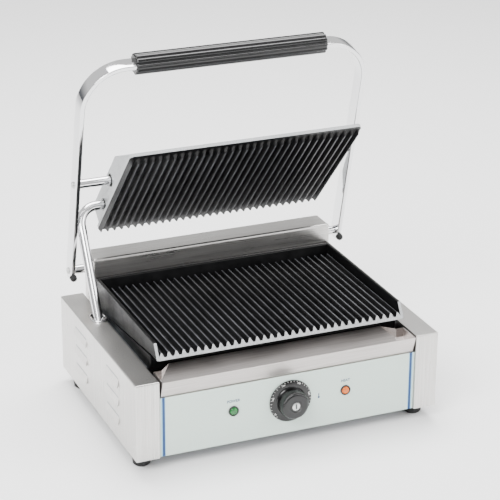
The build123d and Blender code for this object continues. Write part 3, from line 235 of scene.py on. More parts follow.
def brushed_sheet(name, base, shade, along, rough=(0.24, 0.42), grain=1.1, bump=0.25):
    """Brushed stainless sheet: straight grain from an abrasive belt, which gives a soft streaked
    gloss, with faint finger smudges. The true grain is about 0.1 mm; it is drawn 1 mm wide."""
    material, tree, shader, where = start(name, metallic=1.0)
    size = [1 / (grain * MM)] * 3
    size[along] = 1 / (70 * MM)
    stretch = add(tree, "ShaderNodeMapping", {"Scale": size}, {"Vector": where})
    streak = add(tree, "ShaderNodeTexNoise", {"Scale": 1.0, "Detail": 3.0, "Roughness": 0.6},
                 {"Vector": stretch.outputs[0]})
    cloud = add(tree, "ShaderNodeTexNoise", {"Scale": 1 / (55 * MM), "Detail": 2.0}, {"Vector": where})
    both = add(tree, "ShaderNodeMath", {2: 0.18}, {0: cloud.outputs["Fac"], 1: streak.outputs["Fac"]},
               operation="MULTIPLY_ADD")
    tone = add(tree, "ShaderNodeValToRGB", wires={"Fac": streak.outputs["Fac"]})
    tone.color_ramp.elements[0].position, tone.color_ramp.elements[1].position = 0.25, 0.75
    tone.color_ramp.elements[0].color, tone.color_ramp.elements[1].color = linear(shade), linear(base)
    tree.links.new(tone.outputs["Color"], shader.inputs["Base Color"])
    gloss = add(tree, "ShaderNodeMapRange", {"From Min": 0.2, "From Max": 0.9, "To Min": rough[0],
                "To Max": rough[1]}, {"Value": both.outputs[0]})
    tree.links.new(gloss.outputs[0], shader.inputs["Roughness"])
    relief = add(tree, "ShaderNodeBump", {"Strength": bump, "Distance": 0.06 * MM},
                 {"Height": streak.outputs["Fac"]})
    tree.links.new(relief.outputs[0], shader.inputs["Normal"])
    return material


def bright_metal(name, base, rough=(0.04, 0.12), patch=18.0, ripple=0.05):
    """Polished and plated metal: mirror gloss with thin haze where hands and cloths have passed."""
    material, tree, shader, where = start(name, metallic=1.0)
    shader.inputs["Base Color"].default_value = linear(base)
    haze = add(tree, "ShaderNodeTexNoise", {"Scale": 1 / (patch * MM), "Detail": 4.0}, {"Vector": where})
    gloss = add(tree, "ShaderNodeMapRange", {"From Min": 0.35, "From Max": 0.75, "To Min": rough[0],
                "To Max": rough[1]}, {"Value": haze.outputs["Fac"]})
    tree.links.new(gloss.outputs[0], shader.inputs["Roughness"])
    relief = add(tree, "ShaderNodeBump", {"Strength": ripple, "Distance": 0.05 * MM},
                 {"Height": haze.outputs["Fac"]})
    tree.links.new(relief.outputs[0], shader.inputs["Normal"])
    return material


def grained(name, base, shade, rough, grain, depth, metallic=0.0, blotch=14.0, crest=None, cut=None,
            **sockets):
    """Moulded, cast or painted surface: two tones in soft blotches over a bumpy skin whose bumps are
    grain millimetres apart and depth millimetres high. crest is a lighter colour painted on the rib tops
    as a highlight.
    cut is (dull, clean, plane normal, distance): the mottled bare metal on that side of a plane."""
    material, tree, shader, where = start(name, metallic=metallic, **sockets)
    fine = add(tree, "ShaderNodeTexNoise", {"Scale": 1 / (grain * MM), "Detail": 4.0, "Roughness": 0.6},
               {"Vector": where})
    wide = add(tree, "ShaderNodeTexNoise", {"Scale": 1 / (blotch * MM), "Detail": 3.0},
               {"Vector": where})
    mixed = add(tree, "ShaderNodeMath", {2: -0.1}, {0: fine.outputs["Fac"], 1: wide.outputs["Fac"]},
                operation="ADD")
    tone = add(tree, "ShaderNodeValToRGB", wires={"Fac": mixed.outputs[0]})
    tone.color_ramp.elements[0].position, tone.color_ramp.elements[1].position = 0.72, 1.0
    tone.color_ramp.elements[0].color, tone.color_ramp.elements[1].color = linear(shade), linear(base)
    colour = tone.outputs["Color"]
    if crest:
        # painted highlight: the crest colour laid in patches on the rib tops
        mark = add(tree, "ShaderNodeAttribute", attribute_name="crest")
        crest_highlight = add(tree, "ShaderNodeMapRange", {"From Min": 0.93, "From Max": 1.0, "To Max": 1.2},
                   {"Value": mark.outputs["Fac"]})
        patchy = add(tree, "ShaderNodeMath", wires={0: crest_highlight.outputs[0], 1: wide.outputs["Fac"]},
                     operation="MULTIPLY")
        colour = add(tree, "ShaderNodeMix", wires={"Factor": patchy.outputs[0]}, data_type="RGBA")
        colour.inputs[7].default_value = linear(crest)
        tree.links.new(tone.outputs["Color"], colour.inputs[6])
        colour = colour.outputs[2]
    if cut:
        dull, clean, normal, distance = cut
        side = add(tree, "ShaderNodeVectorMath", {1: normal}, {0: where}, operation="DOT_PRODUCT")
        bare = add(tree, "ShaderNodeMath", {1: distance}, {0: side.outputs["Value"]},
                   operation="LESS_THAN")
        blend = add(tree, "ShaderNodeMix", wires={"Factor": bare.outputs[0]}, data_type="RGBA")
        bare_tone = add(tree, "ShaderNodeValToRGB", wires={"Fac": fine.outputs["Fac"]})
        bare_tone.color_ramp.elements[0].position, bare_tone.color_ramp.elements[1].position = 0.35, 0.65
        bare_tone.color_ramp.elements[0].color = linear(dull)
        bare_tone.color_ramp.elements[1].color = linear(clean)
        tree.links.new(bare_tone.outputs["Color"], blend.inputs[7])
        tree.links.new(colour, blend.inputs[6])
        colour = blend.outputs[2]
    tree.links.new(colour, shader.inputs["Base Color"])
    gloss = add(tree, "ShaderNodeMapRange", {"From Min": 0.3, "From Max": 0.7, "To Min": rough[0],
                "To Max": rough[1]}, {"Value": wide.outputs["Fac"]})
    tree.links.new(gloss.outputs[0], shader.inputs["Roughness"])
    relief = add(tree, "ShaderNodeBump", {"Strength": 0.9, "Distance": depth * MM},
                 {"Height": fine.outputs["Fac"]})
    tree.links.new(relief.outputs[0], shader.inputs["Normal"])
    return material


def printed_overlay(name):
    """Polycarbonate overlay, printed from behind: pale mint satin with a blue stripe near each end."""
    material, tree, shader, where = start(name)
    axis = add(tree, "ShaderNodeSeparateXYZ", wires={0: where})
    out = add(tree, "ShaderNodeMath", wires={0: axis.outputs["X"]}, operation="ABSOLUTE")
    share = add(tree, "ShaderNodeMapRange", {"From Min": 172 * MM, "From Max": 182 * MM},
                {"Value": out.outputs[0]})
    band = add(tree, "ShaderNodeValToRGB", wires={"Fac": share.outputs[0]})
    ramp = band.color_ramp
    ramp.interpolation = "CONSTANT"
    stops = [(0.0, "#C3D2CA"), (0.15, "#8FBDD8"), (0.25, "#06376B"), (0.6, "#8FBDD8"), (0.75, "#C3D2CA")]
    ramp.elements[0].color = linear(stops[0][1])
    ramp.elements[1].position, ramp.elements[1].color = stops[-1][0], linear(stops[-1][1])
    for at, code in stops[1:-1]:
        ramp.elements.new(at).color = linear(code)
    soft = add(tree, "ShaderNodeTexNoise", {"Scale": 1 / (30 * MM), "Detail": 3.0}, {"Vector": where})
    gloss = add(tree, "ShaderNodeMapRange", {"To Min": 0.30, "To Max": 0.42},
                {"Value": soft.outputs["Fac"]})
    tree.links.new(gloss.outputs[0], shader.inputs["Roughness"])
    pebble = add(tree, "ShaderNodeTexNoise", {"Scale": 1 / (0.9 * MM)}, {"Vector": where})
    relief = add(tree, "ShaderNodeBump", {"Strength": 0.25, "Distance": 0.03 * MM},
                 {"Height": pebble.outputs["Fac"]})
    tree.links.new(relief.outputs[0], shader.inputs["Normal"])
    tree.links.new(band.outputs["Color"], shader.inputs["Base Color"])
    return material


LIP_SLOPE = 12.0 / 20.2
lip_low = PLATE[LOW][1]
lip_z = PLATE[HIGH][2] - 20.2 * MM
# upright belt grain: soft vertical streaks on the casings
casing_steel = brushed_sheet("stainless sheet, brushed upright", "#D9D7D4", "#BDBBB8", 2)
# the same sheet with its grain running sideways, on panel and rear housing
panel_steel = brushed_sheet("stainless sheet, brushed across", "#D6D4D1", "#B9B7B4", 0)
# rolled sheet, warmer and a little duller than the brushed casings
tray_steel = brushed_sheet("stainless tray, rolled finish", "#CFC9C6", "#B4AEAB", 0, (0.3, 0.46))
# mirror-bright bar and rods with faint haze where they are handled
chrome = bright_metal("chromium plate, polished", "#E6E6E7")
# screw heads: bright but not mirror-like, slightly mottled
zinc = bright_metal("zinc plate, bright", "#BFC0BE", (0.25, 0.4), 5.0, 0.2)
# hidden brackets and pan: dull blue-grey sheet; the same grey is painted shade in a strip along each
# louvre's top edge
galvanised = brushed_sheet("galvanised sheet", "#A9ADB0", "#8E9396", 0, (0.35, 0.55), 4.0)
# heat shield: dull sheet yellowed by heat
aluminised = brushed_sheet("aluminised sheet, heat tinted", "#B3ADA0", "#978F80", 0, (0.35, 0.55), 3.0)
# spring wire: dark grey under a film of oil
spring_steel = bright_metal("spring wire, oiled", "#6B6B6D", (0.3, 0.45), 4.0)
# heating element: brown-grey skin left by annealing
element_sheath = grained("element sheath, annealed", "#5B544C", "#3E3833", (0.35, 0.55), 1.5, 0.03, 1.0)
# capillary tube: drawn copper, softly bright
copper = bright_metal("copper, drawn", "#C98A66", (0.25, 0.4), 6.0)
# bushes: porous yellow-brown metal with an oily satin
bronze = grained("bronze, sintered", "#A98748", "#8C6C34", (0.35, 0.5), 0.9, 0.05, 1.0)
# painted shade: a near-black film laid flat on the casing for the shade in each louvre mouth, and on the
# knob cap for the shade in its slot
shadow = grained("louvre mouth, unlit inside", "#2B2B2C", "#1C1C1D", (0.6, 0.8), 2.0, 0.01)
# black enamel over sand casting: near-black gloss, pebbled, a painted grey highlight on the rib tops,
# bare at the lip
iron = grained("cast iron, black enamel", "#0C0C0D", "#050505", (0.30, 0.46), 1.3, 0.16, blotch=20.0,
               crest="#5E5F63", cut=("#8E9092", "#B9BABB", (0.0, 1.0, -LIP_SLOPE),
                                     lip_low - LIP_SLOPE * lip_z + 0.35 * MM),
               Specular_IOR_Level=0.25)
# the upper plate's black enamel: the same painted grey highlight on its rib tops, bare grey metal on the
# far side of a plane 0.6 mm past the ribbed face
up_cut = NOSE @ LIFT + RIB_H + 0.6 * MM
iron_upper = grained("cast iron, black enamel, upper plate", "#0C0C0D", "#050505", (0.30, 0.46), 1.3,
                     0.16,
                     blotch=20.0, crest="#5E5F63",
                     cut=("#9A9C9D", "#B7B9BA", tuple(-LIFT), -up_cut), Specular_IOR_Level=0.25)
# grey paint over a sand casting: fine speckle and soft blotches
cast_grey = grained("sand cast housing, grey paint", "#B5B7B8", "#97999B", (0.42, 0.6), 1.6, 0.22, 0.35)
# control label: pale mint satin film with blue stripes
label_print = printed_overlay("polycarbonate overlay, printed")
# knob and grip: hard black moulding with narrow highlights
phenolic = grained("phenolic, moulded black", "#080809", "#040404", (0.14, 0.24), 0.8, 0.008)
# feet and bumpers: matt black with almost no highlight
rubber = grained("rubber, moulded black", "#141414", "#0B0B0B", (0.55, 0.75), 1.0, 0.06)
# terminal block: off-white fired ceramic
steatite = grained("steatite, fired", "#DAD6CB", "#C8C2B4", (0.4, 0.6), 0.9, 0.04)
# thermostat: plated steel can, grey and satin
stat_case = grained("thermostat case, plated", "#9A9C9E", "#7E8082", (0.35, 0.5), 1.2, 0.04, 0.8)
# lamp lenses: tinted acrylic, glossy and faintly lit from behind
green = grained("lamp lens, green acrylic", "#006B28", "#004A1A", (0.08, 0.16), 2.0, 0.05,
                Coat_Weight=0.3, Emission_Strength=0.05, Emission_Color=linear("#00A040"))
orange = grained("lamp lens, amber acrylic", "#D06000", "#A84400", (0.08, 0.16), 2.0, 0.05,
                 Coat_Weight=0.3, Emission_Strength=0.05, Emission_Color=linear("#E07000"))
# printing: thin flat films of ink, white on the dial and blue on the label
white_ink = grained("pad print, white ink", "#E9E9E6", "#D4D4D0", (0.5, 0.6), 1.0, 0.01)
blue_ink = grained("screen print, blue ink", "#06305E", "#04264E", (0.4, 0.5), 1.0, 0.01)

FINISH = {
    "stainless_sheet": panel_steel, "galvanised_steel": galvanised, "aluminised_steel": aluminised,
    "chromed_steel": chrome, "zinc_steel": zinc, "spring_steel": spring_steel,
    "element_sheath": element_sheath, "copper_tube": copper, "bronze_bush": bronze,
    "enamelled_cast_iron": iron, "cast_housing": cast_grey, "printed_label": label_print,
    "black_plastic": phenolic, "black_rubber": rubber, "green_lens": green, "orange_lens": orange,
    "ceramic_block": steatite, "thermostat_case": stat_case,
}
OWN = {"left_side_casing": casing_steel, "right_side_casing": casing_steel, "drip_tray": tray_steel,
       "upper_grill_plate": iron_upper}
for part in frame["record"]["subparts"]:
    node = frame["nodes"][part["node"]]
    finish = OWN.get(part["node"], FINISH[part["material_slot"]])
    node.data.materials.clear()
    node.data.materials.append(finish)


# ------------------------------------------------------------------ ribs
def rib_wave(x):
    """Height share of the ribs at x: a trapezoid wave, its corners eased by a cubic."""
    p = np.abs(np.mod(x / RIB_PITCH, 1.0) - 0.5) * 2
    h = np.clip((p - RIB_VALLEY / RIB_PITCH) / (1 - (RIB_VALLEY + RIB_PEAK) / RIB_PITCH), 0, 1)
    return 0.45 * h + 0.55 * (3 * h ** 2 - 2 * h ** 3)


def rib_span(count, fine=14):
    """x of the samples over count ribs, and the wave there, which is 0 beyond both ends."""
    x = np.linspace(-count / 2, count / 2, count * fine + 1) * RIB_PITCH
    return x, rib_wave(x + (count % 2) / 2 * RIB_PITCH)


# ------------------------------------------------------------------ upper plate
up_x0, up_x1 = UPPER[LOW][0], UPPER[HIGH][0]
up_mid, up_half = (up_x0 + up_x1) / 2, (up_x1 - up_x0) / 2
UP_L, UP_PLATE_T, UP_T, SLOPE_D, NOSE_T = 210.3 * MM, 10.6 * MM, 44.8 * MM, 69 * MM, 8 * MM

ribs_x, ribs_h = rib_span(int((2 * up_half - 2 * MM) / RIB_PITCH))
corner = 6 * MM
s = np.concatenate([
    corner * (1 - np.cos(np.linspace(0, np.pi / 2, 8))),
    np.array([7.5, 9, 10.5, 12, 14]) * MM,
    np.linspace(20, 200, 12) * MM,
    UP_L - corner * (1 - np.sin(np.linspace(0, np.pi / 2, 8))),
])
edge = np.minimum(s, UP_L - s)
round_in = np.clip(corner - edge, 0, corner)
width = up_half - corner + np.sqrt(np.clip(corner ** 2 - round_in ** 2, 0, None))
rise = np.clip((s - 5 * MM) / (7 * MM), 0, 1) * np.clip((UP_L - 1 * MM - s) / (0.5 * MM), 0, 1)
side_n = np.array([RIB_H, RIB_H + 0.6 * MM, UP_PLATE_T - 0.6 * MM, UP_PLATE_T])
side_in = np.array([0.6 * MM, 0, 0, 0.6 * MM])
x_line = np.concatenate([ribs_x, up_half - side_in, -(up_half - side_in[::-1])])
n_base = np.concatenate([np.full(len(ribs_x), RIB_H), side_n, side_n[::-1]])
wave = np.concatenate([ribs_h, np.zeros(8)])
x_all = np.clip(x_line[None], -width[:, None], width[:, None])
n_all = n_base[None] - RIB_H * wave[None] * rise[:, None]
rings = (NOSE * [0, 1, 1] + (up_mid + x_all)[..., None] * np.array([1.0, 0, 0])
         + s[:, None, None] * BACK + n_all[..., None] * LIFT)
upper_ribs = skin("upper_ribbed_plate", rings, iron_upper, "upper_plate", 40,
                  (wave[None] * rise[:, None]).ravel())
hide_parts("upper_grill_plate")

slope = (UP_PLATE_T - NOSE_T) * SLOPE_D / (UP_T - NOSE_T) + 1 * MM
lid_outline = rounded([(slope, UP_PLATE_T), (UP_L - 1 * MM, UP_PLATE_T), (UP_L - 1 * MM, UP_T),
                       (SLOPE_D, UP_T)], [0.4 * MM, 0.4 * MM, 3 * MM, 6 * MM])
lid = slab("upper_cast_housing", lid_outline, up_x0 + 4 * MM, up_x1 - 4 * MM, lid_side, cast_grey,
           "upper_plate", 2.2 * MM)
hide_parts("upper_housing")

# ------------------------------------------------------------------ lower plate
low_x = PLATE[HIGH][0]
plate_y0, plate_y1 = PLATE[LOW][1], PLATE[HIGH][1]
rim_z, skirt_z = PLATE[HIGH][2], PLATE[LOW][2]
valley_z = rim_z - 17 * MM
RIM_T, REAR_T, SKIRT_BACK, LIP_BACK = 4.5 * MM, 7 * MM, 24 * MM, 12 * MM
inner = low_x - RIM_T
ribs_x, ribs_h = rib_span(int((2 * inner - 4 * MM) / RIB_PITCH))
x_line = np.concatenate([[-inner - 1 * MM], ribs_x, [inner + 1 * MM, inner + 1 * MM, -inner - 1 * MM]])
wave = np.concatenate([[0], ribs_h, [0, 0, 0]])
z_line = valley_z + RIB_H * wave
z_line[-2:] = lip_z
y_back = np.array([0.0, 4, 12, 30, 60, 100, 140, 180, 214]) * MM
front = plate_y0 + (z_line - lip_z) * LIP_SLOPE
y_all = np.where(y_back[:, None] == 0, front[None], plate_y0 + LIP_BACK + y_back[:, None])
y_all = np.minimum(y_all, plate_y1 - REAR_T + 0.5 * MM)
rings = np.stack([np.broadcast_to(x_line, y_all.shape), y_all, np.broadcast_to(z_line, y_all.shape)], -1)
bed = skin("lower_rib_bed", rings, iron, "base", 40, np.tile(wave, len(y_back)))
skirt_y = plate_y0 + SKIRT_BACK + 0.5 * MM
rim_outline = rounded([(plate_y0, lip_z), (plate_y0 + LIP_BACK, rim_z), (plate_y1, rim_z),
                       (plate_y1, skirt_z), (skirt_y, skirt_z), (skirt_y, lip_z)],
                      np.array([0.5, 1.5, 3, 1, 1, 2]) * MM)
left_rim = slab("lower_plate_left_rim", rim_outline, -low_x, -inner, across, iron, "base", 1.1 * MM)
right_rim = slab("lower_plate_right_rim", rim_outline, inner, low_x, across, iron, "base", 1.1 * MM)
back_outline = rounded([(plate_y1 - REAR_T, skirt_z), (plate_y1, skirt_z), (plate_y1, rim_z),
                        (plate_y1 - REAR_T, rim_z)], [1 * MM, 1 * MM, 2 * MM, 2 * MM])
rear_rim = slab("lower_plate_rear_rim", back_outline, -inner - 2 * MM, inner + 2 * MM, across, iron,
                "base", 0.5 * MM)
skirt_outline = rounded([(skirt_y, skirt_z), (skirt_y + RIM_T, skirt_z),
                         (skirt_y + RIM_T, lip_z + 1 * MM), (skirt_y, lip_z + 1 * MM)], 1 * MM)
skirt = slab("lower_plate_skirt", skirt_outline, -inner - 2 * MM, inner + 2 * MM, across, iron, "base",
             0.5 * MM)
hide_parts("lower_grill_plate")

# ------------------------------------------------------------------ drip tray and louvres
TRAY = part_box("drip_tray")
tray_half, tray_top, tray_floor = TRAY[HIGH][0], TRAY[HIGH][2], TRAY[LOW][2]
TRAY_WALL, TRAY_LEAN, TRAY_DEPTH, FLOOR_BACK = 1 * MM, 8 * MM, 51.5 * MM, 23 * MM
EAR_DEPTH, EAR_WIDTH, EAR_CUT = 35 * MM, 11 * MM, 16.5 * MM


def tray_ring(level, wall):
    """Plan outline of the tray at level (0 floor, 1 rim): an eight-cornered trapezoid whose front
    leans out by 8 mm and whose back slopes out from 15 mm of flat floor to the rim."""
    front = TRAY[LOW][1] + TRAY_LEAN * (1 - level) + wall
    deep = TRAY[LOW][1] + FLOOR_BACK + (TRAY_DEPTH - FLOOR_BACK) * level - wall
    ear = min(TRAY[LOW][1] + EAR_DEPTH, deep) - 0.4 * wall
    cut = min(deep - ear, EAR_CUT)
    half, neck = tray_half - wall, tray_half - EAR_WIDTH - 0.4 * wall
    side = [(half, front), (half, ear), (neck, ear), (neck - cut, deep)]
    ring = np.array([(-x, y) for x, y in side[::-1]] + side)
    z = tray_floor + wall + (tray_top - tray_floor - wall) * level
    return np.concatenate([ring, np.full((8, 1), z)], 1)


climb = [0.0, 0.25, 0.45, 0.7, 1.0]
rings = [tray_ring(v, 0.0) for v in climb] + [tray_ring(v, TRAY_WALL) for v in climb[::-1]]
tray = skin("drip_trough", np.array(rings), tray_steel, "drip_tray", 25)
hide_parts("drip_tray")

# each louvre is a hood pressed out of the casing, with two flat films of painted shade: a near-black
# strip below it for the shade in its mouth, a grey strip above it for the shade along its top edge
LOUVRE_BACK, LOUVRE_UP, LOUVRE_OUT = (89 * MM, 218 * MM), (29 * MM, 56 * MM, 83 * MM), 2.4 * MM
MOUTH_DROP, MOUTH_HALF, MOUTH_TALL, CREASE_SHADE_UP = 3.9 * MM, 23 * MM, 1.7 * MM, 9.8 * MM
for sign, word, case in ((-1, "left", LEFT_CASE), (1, "right", RIGHT_CASE)):
    skin_x = sign * (max(abs(case[LOW][0]), abs(case[HIGH][0])) - LOUVRE_OUT)
    for i, y in enumerate(LOUVRE_BACK):
        for k, z in enumerate(LOUVRE_UP):
            mid = np.array([case[LOW][1] + y, case[LOW][2] + z - MOUTH_DROP])
            corners = np.array([(-1, -1), (1, -1), (1, 1), (-1, 1)]) * [MOUTH_HALF, MOUTH_TALL]
            # painted shade: a near-black strip for the shade in the louvre mouth
            mouth = rounded(mid + corners, 0.6 * MM, 3)
            # painted shade: a grey strip along the hood's top edge, in the dull galvanised colour
            crease = mouth + np.array([0, CREASE_SHADE_UP]) - np.array([0, 0.5]) * (mouth - mid)
            for kind, outline, thick, finish, edge in (
                    ("crease", crease, 0.12 * MM, galvanised, 0.04 * MM),
                    ("mouth", mouth, 0.15 * MM, shadow, 0.05 * MM)):
                near, far = sorted((skin_x, skin_x + sign * thick))
                slab(f"{word}_louvre_{kind}_{i}_{k}", outline, near, far, across, finish, "base",
                     edge, 2)

# ------------------------------------------------------------------ handle
LEG_W, LEG_T, BEND = 22 * MM, 6.5 * MM, 62 * MM
leg_mid = BAR[HIGH][0] - LEG_T / 2
foot, grip_up = -12 * MM, 319 * MM
bend_r = BEND - LEG_T / 2
turn = np.linspace(0, np.pi / 2, 28)
leg_up = foot + 11 * MM * (1 - np.cos(np.linspace(0, np.pi / 2, 12)))
rise_line = np.concatenate([leg_up, np.linspace(foot + 14 * MM, grip_up - bend_r, 14)])
half_path = np.concatenate([
    np.stack([np.full(len(rise_line), -leg_mid), rise_line], 1),
    np.stack([-leg_mid + bend_r * (1 - np.cos(turn[1:])),
              grip_up - bend_r + bend_r * np.sin(turn[1:])], 1),
    np.array([[-60 * MM, grip_up], [0, grip_up]]),
])
bar_path = np.concatenate([half_path, (half_path * [-1, 1])[-2::-1]])
step = np.gradient(bar_path, axis=0)
step /= np.linalg.norm(step, axis=1)[:, None]
side = np.stack([-step[:, 1], step[:, 0]], 1)
low_end = np.clip((bar_path[:, 1] - foot) / (11 * MM), 0, 1)
broad = np.sqrt(np.clip(1 - (1 - low_end) ** 2, 0.0, 1)) * 0.98 + 0.02
section = rounded([(-LEG_T / 2, -LEG_W / 2), (LEG_T / 2, -LEG_W / 2), (LEG_T / 2, LEG_W / 2),
                   (-LEG_T / 2, LEG_W / 2)], 1.3 * MM, 5)
flat = bar_path[:, None] + section[None, :, :1] * side[:, None]
out = section[None, :, 1] * broad[:, None]
rings = (HINGE + flat[..., :1] * np.array([1.0, 0, 0]) + flat[..., 1:] * UP_BAR
         + out[..., None] * OUT_BAR)
bar = skin("handle_bar", rings, chrome, "handle", 35)
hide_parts("handle_frame")

grip_mid, grip_half = (GRIP[LOW][0] + GRIP[HIGH][0]) / 2, (GRIP[HIGH][0] - GRIP[LOW][0]) / 2
grip_r, end_r = 14.5 * MM, 2.5 * MM
t = np.linspace(0, np.pi / 2, 9)
tip = np.stack([grip_half - end_r * (1 - np.sin(t)), grip_r - end_r * (1 - np.cos(t))], 1)
body_line = np.linspace(-grip_half + 3 * MM, grip_half - 3 * MM, 21)
profile = np.concatenate([(tip * [-1, 1])[::-1], np.stack([body_line, np.full(21, grip_r)], 1), tip])


def fluting(angle, along):
    """12 round-bottomed flutes between narrow lands, 1.4 mm deep, from end to end."""
    groove = np.clip(1 - (np.abs(np.mod(angle * 6 / np.pi, 1) - 0.5) / 0.36) ** 2, 0, 1)
    return np.tile(1 - 0.097 * groove[None] ** 0.5, (len(along), 1))


grip_at = HINGE + grip_up * UP_BAR + grip_mid * np.array([1.0, 0, 0])
grip = turned("fluted_grip", grip_at, (1, 0, 0), profile, phenolic, "handle", 288, fluting, 40)
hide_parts("handle_grip")

for sign, name in ((-1, "left"), (1, "right")):
    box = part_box(name + "_pivot_rod")
    outer, inner_x = (box[LOW][0], box[HIGH][0]) if sign < 0 else (box[HIGH][0], box[LOW][0])
    rod = turned(name + "_rod", [0, PIVOT[1], PIVOT[2]], (1, 0, 0),
                 [(outer, 5.4 * MM), (outer - sign * 0.6 * MM, 6 * MM),
                  (inner_x + sign * 0.8 * MM, 6 * MM), (inner_x, 5.2 * MM)], chrome, "handle")
    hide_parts(name + "_pivot_rod")
shaft_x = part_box("hinge_shaft")[HIGH][0]
shaft = turned("hinge_rod", [0, HINGE[1], HINGE[2]], (1, 0, 0),
               [(-shaft_x, 5.4 * MM), (-shaft_x + 0.6 * MM, 6 * MM), (shaft_x - 0.6 * MM, 6 * MM),
                (shaft_x, 5.4 * MM)], chrome, "handle")
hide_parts("hinge_shaft")

leg_out = BAR[HIGH][0]
for place, at in (("pivot", PIVOT), ("hinge", HINGE)):
    for sign, word in ((-1, "left"), (1, "right")):
        dome = [(0, 4.6), (0.7, 4.6), (1.4, 4.1), (1.9, 3.0), (2.15, 1.5), (2.2, 0.4)]
        head = turned(f"{word}_{place}_screw_head", [sign * leg_out, at[1], at[2]], (sign, 0, 0),
                      np.array(dome) * MM, zinc, "handle", 32)
BUMP_UP, BUMP_START = -4.5 * MM, 10.5 * MM
for sign, word in ((-1, "left"), (1, "right")):
    base = (HINGE + sign * (leg_out - LEG_T / 2) * np.array([1.0, 0, 0]) + BUMP_UP * UP_BAR
            + BUMP_START * OUT_BAR)
    pad = turned(f"{word}_bumper", base, OUT_BAR,
                 np.array([(0, 5.0), (3.6, 4.7), (5.2, 4.2), (6.0, 3.2), (6.4, 1.4), (6.45, 0.3)]) * MM,
                 rubber, "handle", 32)
    if sign < 0:
        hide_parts("leg_bumpers")

# ------------------------------------------------------------------ conduit
tube_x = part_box("conduit_ring")
tube_mid = (tube_x[LOW][0] + tube_x[HIGH][0]) / 2
ring_y = (tube_x[LOW][1] + tube_x[HIGH][1]) / 2
ring_top = tube_x[HIGH][2]
TUBE_R, TUBE_BEND, TUBE_L = 6.5 * MM, 25 * MM, 175.8 * MM
down = np.array([0, ring_y - ELBOW[1], ring_top - 1 * MM - ELBOW[2]])
down /= np.linalg.norm(down)
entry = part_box("conduit_tube")[HIGH][0]
across_x = np.array([1.0, 0, 0])
knee = np.array([tube_mid, ELBOW[1], ELBOW[2]])
arc = np.linspace(0, np.pi / 2, 20)[:, None]
centre = knee + TUBE_BEND * across_x + TUBE_BEND * down
bend_line = centre - TUBE_BEND * (np.sin(arc) * across_x + np.cos(arc) * down)
inlet = np.array([[entry, ELBOW[1], ELBOW[2]]])
run = knee + np.linspace(TUBE_BEND, TUBE_L, 14)[1:, None] * down
path = np.concatenate([inlet, bend_line, run])
conduit = tube("conduit", path, TUBE_R, chrome, "conduit", 56)
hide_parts("conduit_tube")

slot_half = (tube_x[HIGH][1] - tube_x[LOW][1] - (tube_x[HIGH][0] - tube_x[LOW][0])) / 2
t = np.linspace(0, 2 * np.pi, 64, endpoint=False)
walk = np.stack([np.cos(t), np.sin(t)], 1)
mid_r = (tube_x[HIGH][0] - tube_x[LOW][0]) / 2 - 2 * MM
track = walk * mid_r + np.stack([0 * t, np.sign(np.sin(t)) * slot_half], 1)
bead = rounded([(-2, 0), (2, 0), (1.6, 2.0), (-1.7, 2.0)], [0.1, 0.1, 1.1, 1.1], 4) * MM
rings = np.stack([tube_mid + track[:, None, 0] + bead[None, :, 0] * walk[:, None, 0],
                  ring_y + track[:, None, 1] + bead[None, :, 0] * walk[:, None, 1],
                  np.broadcast_to(ring_top - 2 * MM + bead[None, :, 1], (64, len(bead)))], -1)
grid = np.arange(64 * len(bead)).reshape(64, len(bead))
a, b = grid, np.roll(grid, -1, 0)
quads = np.stack([a, np.roll(a, -1, 1), np.roll(b, -1, 1), b], -1).reshape(-1, 4).tolist()
ring = make("conduit_escutcheon", rings.reshape(-1, 3), quads, chrome, "base", 40)
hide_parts("conduit_ring")

# ------------------------------------------------------------------ knob and dial
skirt_back = KNOB[HIGH][1]
knob_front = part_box("knob_insert")[LOW][1]
profile = [(skirt_back, 29.5), (skirt_back - 1.0 * MM, 29.5), (skirt_back - 1.4 * MM, 29.1),
           (skirt_back - 3.0 * MM, 23.6), (skirt_back - 3.3 * MM, 21.0), (skirt_back - 4.0 * MM, 20.3),
           (knob_front + 5 * MM, 19.3), (knob_front + 3 * MM, 18.9), (knob_front + 1.5 * MM, 18.0),
           (knob_front + 0.5 * MM, 16.6), (knob_front + 0.1 * MM, 15.0), (knob_front, 13.0),
           (knob_front, 8.4), (knob_front + 0.6 * MM, 7.8), (knob_front + 0.6 * MM, 5.7)]


def finger_ribs(angle, along):
    """48 fine finger ribs, 0.35 mm deep, on the hub only."""
    on_hub = (along < skirt_back - 3.2 * MM) & (along > knob_front - 0.1)
    strength = np.where(on_hub & (along < knob_front + 9 * MM), 1.0, 0.0)[:, None]
    return 1 - 0.018 * strength * np.clip(np.cos(angle * 48), 0, 1)[None]


knob = turned("dial_knob", [0, 0, DIAL[2]], (0, 1, 0), [(y, r * MM) for y, r in profile], phenolic,
              "control_knob", 288, finger_ribs, 28)
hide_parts("control_knob")
cap = turned("knob_cap", [0, 0, DIAL[2]], (0, 1, 0),
             [(knob_front + 1.4 * MM, 5.5 * MM), (knob_front + 0.3 * MM, 5.5 * MM),
              (knob_front, 5.0 * MM),
              (knob_front, 1.0 * MM), (knob_front, 0.2 * MM)], zinc, "control_knob", 48)
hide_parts("knob_insert")


